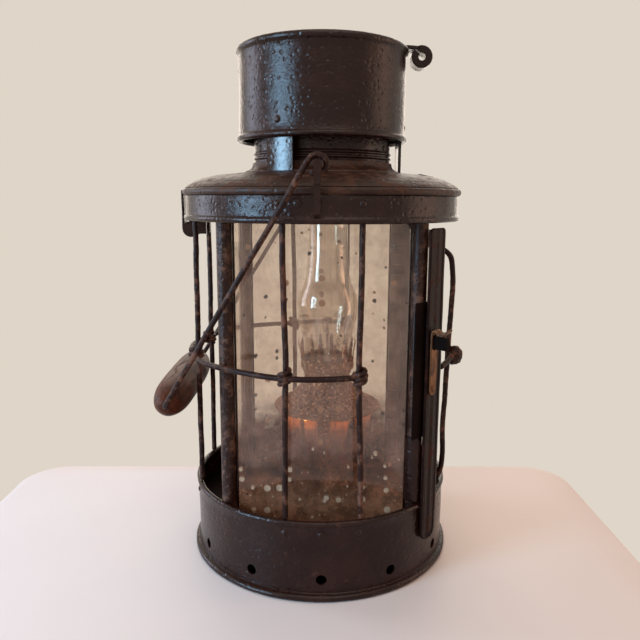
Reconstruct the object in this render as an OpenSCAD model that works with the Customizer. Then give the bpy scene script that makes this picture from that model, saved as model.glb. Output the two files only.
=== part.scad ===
// Trench lantern: a round sheet-iron oil lantern with a guarded glass box, a hinged canopy and hood,
// a side door, a bail with a wooden grip, and a small copper lamp inside.
// Millimetres, +Z up. The origin is the middle of the underside of the base; the door faces +X.

/* [Sheet and wire] */
// Thickness of the sheet iron
sheet = 1; // [0.8:0.1:1.2]
// Diameter of the guard wire
wire_d = 3.2; // [2.8:0.1:3.6]
// Seating gap between neighbouring pieces
seat = 0.15; // [0.1:0.01:0.25]

/* [Base] */
// Outer radius of the base wall
base_r = 79; // [76:0.5:80]
// Height of the wired rim on top of the base wall
rim_z = 45; // [38:1:52]
// Diameter of the wired rim
rim_d = 3.6; // [3.2:0.1:4]
// Diameter of the rolled foot
foot_d = 4; // [3:0.5:5]
// Diameter of a vent hole
vent_d = 6; // [4:0.5:8]
// Height of the row of vent holes
vent_z = 12.4; // [10:0.2:16]
// Number of vent holes
vent_count = 12; // [8:1:16]
// Height of the underside of the lamp deck
deck_z = 26; // [22:1:32]

/* [Inner frame] */
// Diameter of a corner post
post_d = 8.5; // [7.5:0.5:9]
// Outer radius of the sleeve on the lower part of the front right post
sleeve_r = 5.4; // [5:0.1:5.6]
// Height of the top of that sleeve
sleeve_top = 86; // [75:1:110]
// Angle of the front right and back right posts from the middle of the door
post_a = 43.3; // [42:0.1:45]
// Thickness of the glass
glass_t = 2.4; // [2:0.1:3]

/* [Canopy] */
// How far the canopy band stands out past the base wall
band_over = 3; // [2.6:0.1:3.4]
// Height of the lower roll of the band
band_z = 208.5; // [200:0.5:212]
// Height of the band wall above its lower roll
band_h = 12.2; // [11:0.2:16]
// Diameter of the lower roll
band_roll_d = 3.6; // [3:0.1:4]
// Diameter of the roll around the lid
lid_roll_d = 4; // [3.6:0.1:4.4]
// Rise of the domed lid from its roll to the foot of the neck
lid_rise = 10.4; // [9:0.1:12]
// Outer radius of the neck
neck_r = 40.8; // [38:0.2:42]
// Height of the neck above the top of the dome
neck_h = 50; // [44:1:54]

/* [Hood] */
// Distance from the outside of the neck to the outside of the hood
hood_gap = 8.2; // [7.5:0.1:11]
// Height of the hood wall between its two rolls
hood_h = 49.3; // [44:0.1:56]
// Height of the lower roll of the hood above the top of the dome
hood_lift = 20; // [18:0.1:24]
// Diameter of the lower roll of the hood
hood_low_d = 3.4; // [3:0.1:4]
// Diameter of the upper roll of the hood
hood_top_d = 4.3; // [3.6:0.1:5]
// Width of a hood stay
stay_w = 16.5; // [12:0.5:18]
// Thickness of a hood stay
stay_t = 1.8; // [1.4:0.1:2.2]

/* [Guard] */
// Height of the guard ring
ring_z = 127.5; // [110:0.5:150]
// Radius of a wire knot
knot_r = 4.4; // [4:0.1:4.8]
// Height of a wire knot
knot_h = 10; // [9:0.5:12]
// Angle of the front and back wires from the middle
front_wire_a = 14.5; // [10:0.5:20]
// Angle of the left wires from the middle
side_wire_a = 18; // [14:0.5:24]

/* [Door] */
// Gap between the base rim and the door stile
door_gap = 0.4; // [0.3:0.05:1]
// Thickness of the door strip
door_t = 1.5; // [1.2:0.1:1.8]
// Angle of the inner edge of a stile
stile_in_a = 33.5; // [31:0.5:36]
// Angle of the outer edge of a stile
stile_out_a = 44.8; // [43:0.1:46]
// Height of the lower end of the stiles
stile_low = 23; // [18:1:35]
// Height of the upper end of the door
door_top = 204; // [190:1:205]
// Height of a door rail
rail_h = 11; // [8:0.5:16]
// How far the two door wires stand out from the rails
door_wire_out = 11.3; // [9:0.1:13]
// Radius of the knobs on the cross wire of the door
knob_ball_r = 5.4; // [4.8:0.1:5.8]
// Height of those knobs
knob_ball_h = 12.2; // [11:0.1:13]
// Diameter of the door hinge pins
door_pin_d = 3; // [2.6:0.1:3.4]

/* [Catch] */
// Thickness of the brass spring strip
catch_t = 1.2; // [0.8:0.1:1.4]
// Width of the brass spring strip
catch_w = 6.4; // [5.5:0.1:8]
// Height of the lower end of the strip
catch_low = 111; // [104:1:115]
// Length of the strip up to its hook
catch_h = 39; // [36:1:42]
// How far the hook stands out from the strip
hook_out = 6.4; // [5.5:0.1:7]
// Height of the top of the keeper's plate above the keeper's underside
keeper_plate_rise = 26; // [12:1:40]
// Width of the keeper's plate, in degrees round the lantern
keeper_plate_a = 9; // [7:0.5:9]

/* [Lid hinge] */
// Diameter of the lid hinge pin
lid_pin_d = 4; // [3.6:0.1:4.4]
// Outer radius of the rolled eye
eye_r = 5.2; // [4.8:0.1:5.4]
// Width of the strap
strap_w = 12; // [10:0.5:16]
// Thickness of the strap
strap_t = 1.5; // [1.3:0.1:1.6]

/* [Bail] */
// Diameter of the bail wire
bail_d = 3; // [2.6:0.1:3.2]
// Length of the bail from its pivot to the middle of the grip
bail_len = 155.8; // [140:0.2:175]
// Gap between the hanging grip and the guard wires
hang_gap = 1.25; // [1:0.05:3]
// Sideways place of the two bail lugs
lug_x = -3; // [-5:0.5:3]
// Height of the bail pivot above the lower roll of the band
lug_rise = 26.7; // [25:0.1:32]
// Length of the wooden grip
grip_len = 112; // [90:1:120]
// Greatest radius of the wooden grip
grip_r = 11.2; // [9:0.2:11.6]

/* [Rivets] */
// Radius of a rivet head
rivet_r = 1.9; // [1.6:0.1:2.2]

/* [Lamp] */
// Sideways place of the lamp
lamp_x = 4; // [0:0.5:5]
// Radius of the font
font_r = 30; // [26:0.5:32]
// Height of the underside of the font above the deck
font_lift = 20; // [14:1:24]
// Height of the font
font_h = 39.5; // [34:0.5:44]
// Radius of the brim of the burner
brim_r = 34; // [33:0.5:36]
// Inner radius of the wick
wick_ri = 5.9; // [5.6:0.1:6.2]
// Outer radius of the wick
wick_ro = 7.8; // [7.4:0.1:8]
// Outer radius of the chimney foot
chimney_r = 15.5; // [15:0.1:16]
// Radius of the chimney bulge
bulge_r = 19; // [17:0.5:21]
// Radius of the chimney top
chimney_top_r = 12; // [11:0.5:13]
// Thickness of the chimney glass
chimney_t = 1.5; // [1.2:0.1:1.8]
// Height of the flame spreader above the wick tube
spreader_rise = 20; // [16:0.5:24]
// Radius of the flame spreader
spreader_r = 4; // [3.4:0.1:4.4]

/* [Hidden] */
$fn = 48;
run = 0.08;          // radial clearance of a running pin
loose = 0.3;         // clearance beside a moving piece
wire_r = wire_d / 2;

// Base and inner frame
base_ri = base_r - sheet;
rim_c = base_r - 0.8;
rim_top = rim_z + rim_d / 2;
rim_out = rim_c + rim_d / 2;
foot_c = base_r + 1;
floor_t = sheet + 0.2;
deck_t = floor_t;
deck_top = deck_z + deck_t;
post_r = post_d / 2;
post_ring = base_ri - post_r - 0.4;
post_x = post_ring * cos(post_a);
post_y = post_ring * sin(post_a);
front_half = post_x - sleeve_r - loose;
side_half = post_y - sleeve_r - loose;

// Canopy, from the lower roll upwards
band_r = base_r + band_over;
band_ri = band_r - sheet;
band_roll_c = band_r - 0.7;
band_top = band_z + band_h;
crown_z = band_z + 6.5;
crown_hole_r = 46;
lid_roll_c = band_r - 0.2;
lid_roll_z = band_top + loose + 0.05 + lid_roll_d / 2;
lid_out = lid_roll_c + lid_roll_d / 2;
dome_r = neck_r + 7.7;
dome_w = lid_out - dome_r;
dome_z = lid_roll_z + 0.35;
flare_z = dome_z + lid_rise;
collar_z = flare_z + 6.2;
neck_top = flare_z + neck_h;

// Hood
hood_low = flare_z + hood_lift;
hood_top = hood_low + hood_h;
hood_r = neck_r + hood_gap;
hood_ri = hood_r - sheet;
hood_low_c = hood_r + 0.4;
hood_top_c = hood_r - 0.4;
stay_ro = hood_ri - 0.35;
stay_foot_r = stay_ro - stay_t;
stay_high = hood_low + 14;
stay_angles = [-120, 0, 120];
stay_rivet_lift = 7.6;
seam_rivet_low = 13.5;
seam_rivet_high = 10;
cap_z = hood_top - 4.6;

// Guard
guard_r = rim_c - 0.7;
ring_r = guard_r + wire_d + 0.1;
knot_bore_r = wire_r + seat;
wire_low = rim_top + 0.2;
wire_high = crown_z - seat;

// Door
stile_ri = rim_out + door_gap;
stile_ro = stile_ri + door_t;
rail_x = stile_ro * cos(stile_in_a) - door_t - 0.5;
door_low = rim_top + 1.7;
rail_top = door_top - 3;
flange_y = 38;
door_glass_x = rail_x - loose - glass_t;
door_pin_a = 50.5;
door_pin_r = stile_ro + 1.7;
knuckle_r = door_pin_d / 2 + 1.3;
hinge_arm_h = 6;
hinge_knuckle_h = 8;
hinge_pitch = hinge_arm_h + loose;
hinge_zs = [door_low + 14, door_top - 36];
door_wire_y = 21;
door_wire_x = rail_x + door_wire_out;
door_knot_x = door_wire_x - 1;
door_wire_top = door_top - 14;
door_wire_low = rim_top + loose + wire_r + 0.3;

// Catch, placed round the axis by its angle
catch_a = -41.5;
catch_ri = stile_ro + 0.1;
catch_ro = catch_ri + catch_t;
catch_top = catch_low + catch_h;
keeper_w = 3;
keeper_top = catch_top - 5.2;
keeper_low = keeper_top - 6.8;
keeper_out = catch_ro + hook_out + 1.8;

// Lid hinge, on the left
strap_x = -(band_roll_c + band_roll_d / 2 + loose);
eye_x = strap_x - strap_t - 0.05 + eye_r;
eye_z = band_z - band_roll_d / 2 - loose - eye_r;
lid_pin_r = lid_pin_d / 2;
ear_t = 1.8;
ear_y = strap_w / 2 + loose;

// Bail
bail_r = bail_d / 2;
lug_pin_r = 1.9;
eye_hole_r = lug_pin_r + 0.8;
eye_mean_r = eye_hole_r + bail_r;
leg_in = lid_out + 0.5;
leg_t = 2.1;
leg_w = 3.4;
bail_y = leg_in + leg_t + 0.2 + bail_r;
leg_out = bail_y + bail_r + 0.2;
lug_z = band_z + lug_rise;
grip_power = 4.5;
arm_bend = 62;

// The grip hangs against the left guard wires, or further out where it is level with the ring
wires_out = guard_r * cos(side_wire_a) + wire_r;
bail_line = norm([bail_len, eye_mean_r]);
grip_above = lug_z - sqrt(bail_line * bail_line - pow(wires_out + grip_r + lug_x, 2)) - ring_z;
past_knot = max(0, abs(grip_above) - knot_h / 2);
ring_reach = ring_r + wire_r + sqrt(max(0, grip_r * grip_r - past_knot * past_knot));
hang_x = hang_gap + max(wires_out + grip_r, past_knot > grip_r + hang_gap ? 0 : ring_reach);
bail_a = asin((hang_x + lug_x) / bail_line) - atan2(eye_mean_r, bail_len);

// Lamp, from the deck upwards
holder_ri = font_r + 0.4;
font_z = deck_top + font_lift + sheet;
font_top = font_z + font_h;
font_wall = 1.2;
tube_t = 0.6;
air_ro = wick_ri - 0.4;
wick_tube_ri = wick_ro + 0.4;
wick_tube_ro = wick_tube_ri + tube_t;
brim_z = font_top + seat;
cone_h = 25;
cone_top_r = 14.5;
gallery_z = brim_z + cone_h + seat;
gallery_r = chimney_r + 0.4 + sheet;
gallery_h = 7;
prong_count = 14;
prong_foot = 6.5;
prong_h = 12.5;
prong_w = 3;
chimney_z = gallery_z + sheet + loose;
chimney_rise = 11;
chimney_top = crown_z + chimney_rise;
tube_top = gallery_z + 9.5;
wick_top = tube_top + 1.2;
spindle_r = 1.2;
spindle_z = brim_z + 8.2;
spindle_a = 110;
pinion_r = 2.5;
spindle_off = wick_ro + pinion_r + 0.1;
knob_r = 6.4;
knob_in = brim_r + 2;

// Height of the lid's outer surface at a radius between its roll and the foot of the neck
function lid_z(r) = r > dome_r
    ? dome_z + lid_rise * sqrt(1 - pow((r - dome_r) / dome_w, 2))
    : flare_z + 1.4 * (dome_r - r) / 2.7;

// A point at a radius, an angle and a height
function polar(r, a, z) = [r * cos(a), r * sin(a), z];

// A round rod from one point to another
module rod(a, b, d) {
    v = b - a;
    translate(a) rotate([0, acos(v.z / norm(v)), atan2(v.y, v.x)]) cylinder(h = norm(v), d = d);
}

// A wire along a few points: its straight runs meet in balls that are a hair fuller than the wire
module wire_run(points, d) {
    last = len(points) - 1;
    for (i = [0 : last - 1]) {
        v = points[i + 1] - points[i];
        step = 0.2 * v / norm(v);
        rod(points[i] + (i > 0 ? step : 0 * v), points[i + 1] - (i < last - 1 ? step : 0 * v), d);
    }
    for (i = [1 : last - 1]) translate(points[i]) sphere(d = d + 0.08);
}

// A tube standing on z = 0
module tube(ro, ri, h) {
    difference() {
        cylinder(r = ro, h = h);
        translate([0, 0, -1]) cylinder(r = ri, h = h + 2);
    }
}

// A domed rivet head on z = 0
module rivet(r, h) {
    ball = (r * r + h * h) / (2 * h);
    rotate_extrude() intersection() {
        translate([0, h - ball]) circle(ball);
        square([r, h]);
    }
}

// A rivet head on the outside of a round wall
module wall_rivet(wall_r, a, z, r) {
    rotate([0, 0, a]) translate([wall_r + 0.05, 0, z]) rotate([0, 90, 0]) rivet(r, r * 0.45);
}

module base_shell() {
    color("#3d2f2b") difference() {
        union() {
            rotate_extrude() {
                translate([base_ri, 0]) square([sheet, rim_z]);
                translate([rim_c, rim_z]) circle(d = rim_d);
                translate([foot_c, foot_d / 2]) circle(d = foot_d);
            }
        }
        for (i = [0 : vent_count - 1])
            rotate([0, 0, -90 + i * 360 / vent_count]) translate([base_r - 8, 0, vent_z])
                rotate([0, 90, 0]) cylinder(d = vent_d, h = 16);
        // the rim's wire is flattened where a post passes inside it
        for (sx = [-1, 1], sy = [-1, 1]) translate([sx * post_x, sy * post_y, rim_z - rim_d])
            cylinder(r = post_r + 0.35, h = 2 * rim_d);
    }
}

module base_floor() {
    color("#2f2724") cylinder(r = base_ri - 0.1, h = floor_t);
}

module base_rivets() {
    color("#3d2f2b") for (side = [-90, 180, 90], a = [-15, 0, 15])
        wall_rivet(base_r, side + a, rim_z - 6, rivet_r);
}

module lamp_deck() {
    color("#332925") translate([0, 0, deck_z]) difference() {
        cylinder(r = base_ri - 0.1, h = deck_t);
        for (sx = [-1, 1], sy = [-1, 1])
            translate([sx * post_x, sy * post_y, -1]) cylinder(r = post_r + seat, h = deck_t + 2);
        for (i = [0 : 7])
            rotate([0, 0, 22.5 + i * 45]) translate([holder_ri + sheet + 10, 0, -1])
                cylinder(d = 7, h = deck_t + 2);
    }
}

module post(sx, sy) {
    color("#3a2d29") translate([sx * post_x, sy * post_y, floor_t + 0.1])
        tube(post_r, post_r - sheet, crown_z - floor_t - 0.1 - seat);
}

module post_sleeve() {
    color("#352a26") difference() {
        translate([post_x, -post_y, rim_top + 0.5])
            tube(sleeve_r, post_r + seat, sleeve_top - rim_top - 0.5);
        // the upper outer corner is snipped off
        translate([post_x + 2.4, -post_y - 10, sleeve_top]) rotate([0, 62, 0])
            translate([0, 0, -1]) cube([12, 20, 12]);
    }
}

module window_gusset() {
    color("#2c2320") difference() {
        translate([0, -post_y - glass_t / 2 - 0.3, 0]) rotate([90, 0, 0]) linear_extrude(sheet)
            polygon([[post_x, crown_z - seat], [post_x - 14, crown_z - seat], [post_x, crown_z - 20]]);
        translate([post_x, -post_y, crown_z - 30]) cylinder(r = post_r + seat, h = 40);
    }
}

// A flat pane standing on the deck, its middle at a distance from the axis
module pane(a, away, half) {
    color([0.75, 0.72, 0.66, 0.35]) rotate([0, 0, a])
        translate([away - glass_t / 2, -half, deck_top + seat])
            cube([glass_t, 2 * half, crown_z - deck_top - 2 * seat]);
}

module crown_plate() {
    color("#332925") translate([0, 0, crown_z]) tube(band_ri - 0.1, crown_hole_r, floor_t);
}

module canopy_band() {
    color("#3a2d29") rotate_extrude() {
        translate([band_ri, band_z]) square([sheet, band_h]);
        translate([band_roll_c, band_z]) circle(d = band_roll_d);
    }
}

module band_rivets() {
    rivet_z = band_z + 8.3;
    color("#3a2d29") {
        for (side = [0, 180]) {
            wall_rivet(band_r, side - 106, rivet_z, 0.95 * rivet_r);
            wall_rivet(band_r, side - 99, rivet_z, 1.3 * rivet_r);
            wall_rivet(band_r, side - 76, rivet_z, 0.95 * rivet_r);
        }
        wall_rivet(band_r, 0, rivet_z, 1.05 * rivet_r);
    }
}

// Two-legged lug for the bail: the inner leg is riveted to the band, a pin joins it to the outer leg
module bail_lug(side) {
    foot = band_r + 0.1;
    color("#3a2d29") mirror([0, side < 0 ? 0 : 1, 0]) translate([lug_x, 0, 0]) {
        translate([-leg_w / 2, 0, 0]) rotate([90, 0, 90]) linear_extrude(leg_w) {
            polygon([[-foot, band_z + 3], [-foot, band_z + 8.5], [-leg_in, band_z + 12],
                [-leg_in, lug_z + 2], [-leg_in - leg_t, lug_z + 2], [-leg_in - leg_t, band_z + 11],
                [-foot - leg_t, band_z + 7.5], [-foot - leg_t, band_z + 3]]);
            polygon([[-leg_out, lug_z - 9], [-leg_out, lug_z + 2], [-leg_out - leg_t, lug_z + 2],
                [-leg_out - leg_t, lug_z - 9]]);
        }
        translate([0, -leg_in - leg_t / 2, lug_z]) rotate([90, 0, 0])
            cylinder(r = lug_pin_r, h = leg_out - leg_in);
    }
}

// A guard wire: the run between its foot and its head stands at one place round the cage
module guard_wire(a, top_shift, low_shift) {
    color("#2f2624") wire_run([polar(guard_r, a + low_shift, wire_low),
        polar(guard_r, a, ring_z - knot_h / 2 - 1.5), polar(guard_r, a, ring_z + knot_h / 2 + 1.5),
        polar(guard_r, a + top_shift, wire_high)], wire_d);
}

// The ring round the cage and the knots with which it grips each upright wire
module guard_ring() {
    knot_angles = [-90 + front_wire_a, -90 - front_wire_a, 180 + side_wire_a,
        180 - side_wire_a, 90 + front_wire_a, 90 - front_wire_a];
    span = 180 + 2 * front_wire_a;
    color("#2f2624") difference() {
        union() {
            translate([0, 0, ring_z]) rotate([0, 0, 90 - front_wire_a])
                rotate_extrude(angle = span) translate([ring_r, 0]) circle(d = wire_d);
            for (a = knot_angles) translate(polar(guard_r, a, ring_z)) knot_body(knot_r, knot_h);
        }
        for (a = knot_angles)
            translate(polar(guard_r, a, ring_z - knot_h)) cylinder(r = knot_bore_r, h = 2 * knot_h);
    }
}

// The outer shape of a knot, as if turned
module knot_body(r, h) {
    rotate_extrude() intersection() {
        translate([r - h * 0.6, 0]) circle(h * 0.6);
        translate([0, -h / 2]) square([r, h]);
    }
}

module lid_hinge_ears() {
    color("#332925") for (s = [-1, 1]) difference() {
        translate([0, s * (ear_y + ear_t / 2), 0]) {
            translate([eye_x, ear_t / 2, eye_z]) rotate([90, 0, 0]) cylinder(r = eye_r - 0.8, h = ear_t);
            translate([eye_x + 1.4, -ear_t / 2, eye_z - 3])
                cube([8.4, ear_t, crown_z - seat - eye_z + 3]);
        }
        translate([eye_x, 50, eye_z]) rotate([90, 0, 0]) cylinder(r = lid_pin_r + 0.05, h = 100);
    }
}

module lid_hinge_pin() {
    reach = ear_y + ear_t + 0.2;
    color("#2f2624") translate([eye_x, 0, eye_z]) rotate([90, 0, 0]) {
        translate([0, 0, -reach]) cylinder(r = lid_pin_r, h = 2 * reach);
        for (z = [-reach - 1.4, reach]) translate([0, 0, z]) cylinder(r = lid_pin_r + 1, h = 1.4);
    }
}

module lid() {
    outer = [for (t = [14, 22, 31, 40, 50, 60, 70, 80, 90])
        [dome_r + dome_w * cos(t), dome_z + lid_rise * sin(t)]];
    inner = [for (t = [90, 80, 70, 60, 50, 40, 31, 22, 14])
        [dome_r + (dome_w - sheet) * cos(t), dome_z + (lid_rise - sheet) * sin(t)]];
    color("#4a352c") rotate_extrude() {
        translate([lid_roll_c, lid_roll_z]) circle(d = lid_roll_d);
        polygon(concat([[lid_roll_c + 1.1, lid_roll_z + 0.5]], outer,
            [[neck_r + 5, flare_z + 1.4], [neck_r + 1.8, flare_z + 2.9], [neck_r + 1.1, collar_z],
            [neck_r + 0.1, collar_z], [neck_r + 0.1, flare_z + 2.2], [neck_r + 4.7, flare_z + 0.3]],
            inner, [[lid_roll_c - 1.2, lid_roll_z + 0.2]]));
    }
}

// Strap of the lid hinge: it hangs from the lid's roll and ends in an eye round the pin
module lid_strap() {
    color("#332925") difference() {
        translate([0, strap_w / 2, 0]) rotate([90, 0, 0]) {
            linear_extrude(strap_w)
                polygon([[strap_x - strap_t, eye_z], [strap_x - strap_t, lid_roll_z + 1],
                    [-lid_out - 0.8, lid_roll_z + 1.3], [-lid_out - 0.25, lid_roll_z + 0.6],
                    [-lid_out - 0.25, lid_roll_z - 1.6], [strap_x, lid_roll_z - 1.6],
                    [strap_x, eye_z]]);
            translate([eye_x, eye_z, 0]) cylinder(r = eye_r, h = strap_w);
        }
        translate([eye_x, 50, eye_z]) rotate([90, 0, 0]) cylinder(r = lid_pin_r + run, h = 100);
    }
}

// Small flat tab lying on the lid, beside the right stay
module lid_tab() {
    r_in = lid_out - 23;
    r_out = lid_out - 14;
    color("#2c2320") rotate([0, 0, 8]) translate([0, 2.5, 0]) rotate([90, 0, 0]) linear_extrude(5)
        polygon([[r_in, lid_z(r_in) + 0.25], [r_out, lid_z(r_out) + 0.25],
            [r_out, lid_z(r_out) + 1.3], [r_in, lid_z(r_in) + 1.7]]);
}

module neck() {
    color("#3a2d29") {
        translate([0, 0, flare_z + 2]) tube(neck_r, neck_r - sheet, neck_top - flare_z - 2);
        for (dz = [2.4, 5]) translate([0, 0, collar_z + dz]) difference() {
            rotate_extrude() translate([neck_r, 0]) circle(r = 0.7);
            translate([0, 0, -1]) cylinder(r = neck_r - sheet / 2, h = 2);
        }
    }
}

module neck_rivets() {
    color("#2c2320") for (a = [-30, 90, 210]) wall_rivet(neck_r, a, collar_z + 8, 0.85 * rivet_r);
}

module hood() {
    color("#3a2d29") rotate_extrude() {
        translate([hood_ri, hood_low]) square([sheet, hood_h]);
        translate([hood_low_c, hood_low]) circle(d = hood_low_d);
        translate([hood_top_c, hood_top]) circle(d = hood_top_d);
    }
}

module hood_cap() {
    color("#332925") difference() {
        translate([0, 0, cap_z]) cylinder(r = hood_ri - 0.1, h = sheet);
        translate([loop_leg_x() - seat, -loop_w() / 2 - seat, cap_z - 1])
            cube([10, loop_w() + 2 * seat, sheet + 2]);
    }
}

module hood_stays() {
    span = stay_w / stay_ro * 180 / PI;
    color("#4b4644") for (a = stay_angles) rotate([0, 0, a - span / 2])
        rotate_extrude(angle = span)
            polygon([[stay_foot_r, lid_z(stay_foot_r) + seat], [stay_ro, lid_z(stay_ro) + seat],
                [stay_ro, stay_high], [stay_foot_r, stay_high]]);
}

module hood_rivets() {
    color("#3a2d29") {
        for (a = stay_angles) wall_rivet(hood_r, a, hood_low + stay_rivet_lift, 1.2 * rivet_r);
        for (dz = [seam_rivet_low, hood_h - seam_rivet_high])
            wall_rivet(hood_r, 180, hood_low + dz, 0.95 * rivet_r);
    }
}

// Places of the lifting loop on the right of the hood
function loop_w() = 11;
function loop_r() = 6.6;
function loop_t() = 2.2;
function loop_top() = hood_top + hood_top_d / 2 + 0.2 + loop_t();
function loop_leg_x() = hood_top_c - hood_top_d / 2 - 0.6 - loop_t();

// Strip riveted inside the hood, brought over the top roll and curled into an eye
module lift_loop() {
    x = hood_top_c + hood_top_d / 2 + loop_r() + 0.6;
    color("#2c2320") translate([0, loop_w() / 2, 0]) rotate([90, 0, 0]) linear_extrude(loop_w())
        difference() {
            union() {
                translate([x, loop_top() - loop_r()]) circle(loop_r());
                translate([loop_leg_x(), loop_top() - loop_t()]) square([x - loop_leg_x(), loop_t()]);
                translate([loop_leg_x(), cap_z - 8]) square([loop_t(), loop_top() - cap_z + 8]);
            }
            translate([x, loop_top() - loop_r()]) circle(3.3);
        }
}

// Both door hinges: arms clamped round the back right post
module door_hinge_arms() {
    pin = polar(door_pin_r, door_pin_a, 0);
    post = [post_x, post_y, 0];
    v = pin - post;
    color("#332925") for (z = hinge_zs, k = [0, 1])
        translate([0, 0, z + k * (hinge_pitch + hinge_knuckle_h + loose)]) difference() {
            union() {
                translate(post) cylinder(r = post_r + 1.1, h = hinge_arm_h);
                translate(pin) cylinder(r = knuckle_r, h = hinge_arm_h);
                translate(post) rotate([0, 0, atan2(v.y, v.x)]) translate([0, -1.8, 0.2])
                    cube([norm(v), 3.6, hinge_arm_h - 0.4]);
            }
            translate(post + [0, 0, -1]) cylinder(r = post_r + 0.1, h = hinge_arm_h + 2);
            translate(pin + [0, 0, -1]) cylinder(r = door_pin_d / 2 + 0.05, h = hinge_arm_h + 2);
        }
}

module door_hinge_pins() {
    span = 2 * hinge_arm_h + hinge_knuckle_h + 2 * loose;
    color("#2f2624") for (z = hinge_zs) translate(polar(door_pin_r, door_pin_a, z)) {
        translate([0, 0, -1]) cylinder(d = door_pin_d, h = span + 1.2);
        translate([0, 0, span + 0.2]) cylinder(r = knuckle_r, h = 1.4);
    }
}

// One stile: a strip bent to the round of the base, with a flange that takes the glass
module stile(s) {
    a = s > 0 ? stile_in_a : -stile_out_a;
    difference() {
        rotate([0, 0, a]) rotate_extrude(angle = stile_out_a - stile_in_a)
            translate([stile_ri, stile_low]) square([door_t, door_top - stile_low]);
        if (s < 0) stile_corner_cuts();
    }
    y = stile_ro * sin(stile_in_a) - 0.6;
    translate([rail_x, s > 0 ? flange_y : -y, door_low])
        cube([door_t, y - flange_y, rail_top - door_low]);
}

// The upper corners of the front stile are rounded, its lower end more so
module stile_corner_cuts() {
    mid = (stile_in_a + stile_out_a) / 2;
    half = stile_ro * sin((stile_out_a - stile_in_a) / 2);
    rotate([0, 0, -mid]) translate([stile_ri - 6, 0, 0]) {
        for (side = [-1, 1]) {
            corner_cut(side, half, door_top, -1, 3);
            corner_cut(side, half, stile_low, 1, half - 1);
        }
    }
}

// Cuts one corner of a strip that stands across the local x axis
module corner_cut(side, half, z, up, r) {
    y = half + 0.15 - r;
    mid_z = z + up * (r - 0.15);
    difference() {
        translate([0, side > 0 ? y : -y - r - 2, up > 0 ? mid_z - r - 2 : mid_z]) cube([14, r + 2, r + 2]);
        translate([-1, side * y, mid_z]) rotate([0, 90, 0]) cylinder(r = r, h = 16);
    }
}

module door_frame() {
    color("#352a26") difference() {
        union() {
            stile(-1);
            stile(1);
            for (z = [door_low, rail_top - rail_h])
                translate([rail_x, -flange_y - 1, z]) cube([door_t, 2 * flange_y + 2, rail_h]);
        }
        // notch, open at the edge of the front stile, in which the keeper lies when the door is shut
        rotate([0, 0, catch_a]) translate([stile_ri - 4, -10, keeper_low - 0.5])
            cube([10, 10 + keeper_w / 2 + 0.5, keeper_top - keeper_low + 1]);
    }
}

module door_hinge_leaves() {
    pin = polar(door_pin_r, door_pin_a, 0);
    tip = polar(stile_ro + 0.8, stile_out_a - 3, 0);
    v = tip - pin;
    color("#332925") for (z = hinge_zs) translate([0, 0, z + hinge_pitch]) difference() {
        union() {
            translate(pin) cylinder(r = knuckle_r, h = hinge_knuckle_h);
            translate(pin) rotate([0, 0, atan2(v.y, v.x)]) translate([0, -0.6, 0.2])
                cube([norm(v), 1.2, hinge_knuckle_h - 0.4]);
        }
        translate(pin + [0, 0, -1]) cylinder(r = door_pin_d / 2 + run, h = hinge_knuckle_h + 2);
    }
}

module door_glass() {
    color([0.75, 0.72, 0.66, 0.35]) translate([door_glass_x, -flange_y - 3, door_low + 1])
        cube([glass_t, 2 * flange_y + 6, rail_top - door_low - 2]);
}

module door_guard_wires() {
    x0 = rail_x + door_t + 0.1;
    color("#2f2624") for (s = [-1, 1]) wire_run([
        [x0, s * door_wire_y, door_wire_top], [x0 + 5, s * door_wire_y, door_wire_top],
        [door_wire_x - 1.5, s * door_wire_y, door_wire_top - 4],
        [door_wire_x, s * door_wire_y, door_wire_top - 14],
        [door_wire_x, s * door_wire_y, ring_z + knob_ball_h / 2 + 14],
        [door_knot_x, s * door_wire_y, ring_z + knob_ball_h / 2 + 1],
        [door_knot_x, s * door_wire_y, ring_z - knob_ball_h / 2 - 1],
        [door_knot_x - 1.1, s * door_wire_y, ring_z - knob_ball_h / 2 - 16],
        [door_knot_x - 3.2, s * door_wire_y, door_wire_low + 3],
        [door_knot_x - 5.6, s * door_wire_y, door_wire_low], [x0, s * door_wire_y, door_wire_low]],
        wire_d);
}

// Cross wire of the door, with a knob round each of the two wires
module door_cross_wire() {
    x = door_knot_x + wire_d + 0.1;
    x0 = rail_x + door_t + 0.2 + wire_r;
    knob_x = door_knot_x + knob_ball_r - 1.2;
    color("#2f2624") difference() {
        union() {
            wire_run([[x0, -flange_y - 1, ring_z - 4], [x, -door_wire_y, ring_z],
                [x, door_wire_y, ring_z], [x0, flange_y + 1, ring_z - 4]], wire_d);
            for (s = [-1, 1]) translate([knob_x, s * door_wire_y, ring_z - 1.2])
                knot_body(knob_ball_r, knob_ball_h);
        }
        for (s = [-1, 1]) translate([door_knot_x, s * door_wire_y, ring_z - knob_ball_h])
            cylinder(r = knot_bore_r, h = 2 * knob_ball_h);
    }
}

// Keeper on the front right post: it stands out through the notched stile and the spring strip
module catch_keeper() {
    plate_r = post_ring + post_r + 0.3;
    plate_h = keeper_low + keeper_plate_rise - sleeve_top - 0.5;
    color("#241d1b") {
        rotate([0, 0, catch_a]) translate([plate_r + 0.5, -keeper_w / 2, keeper_low])
            cube([keeper_out - plate_r - 0.5, keeper_w, keeper_top - keeper_low]);
        rotate([0, 0, catch_a - keeper_plate_a + 0.6]) rotate_extrude(angle = keeper_plate_a)
            translate([plate_r, sleeve_top + 0.5]) square([sheet, plate_h]);
    }
}

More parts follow.
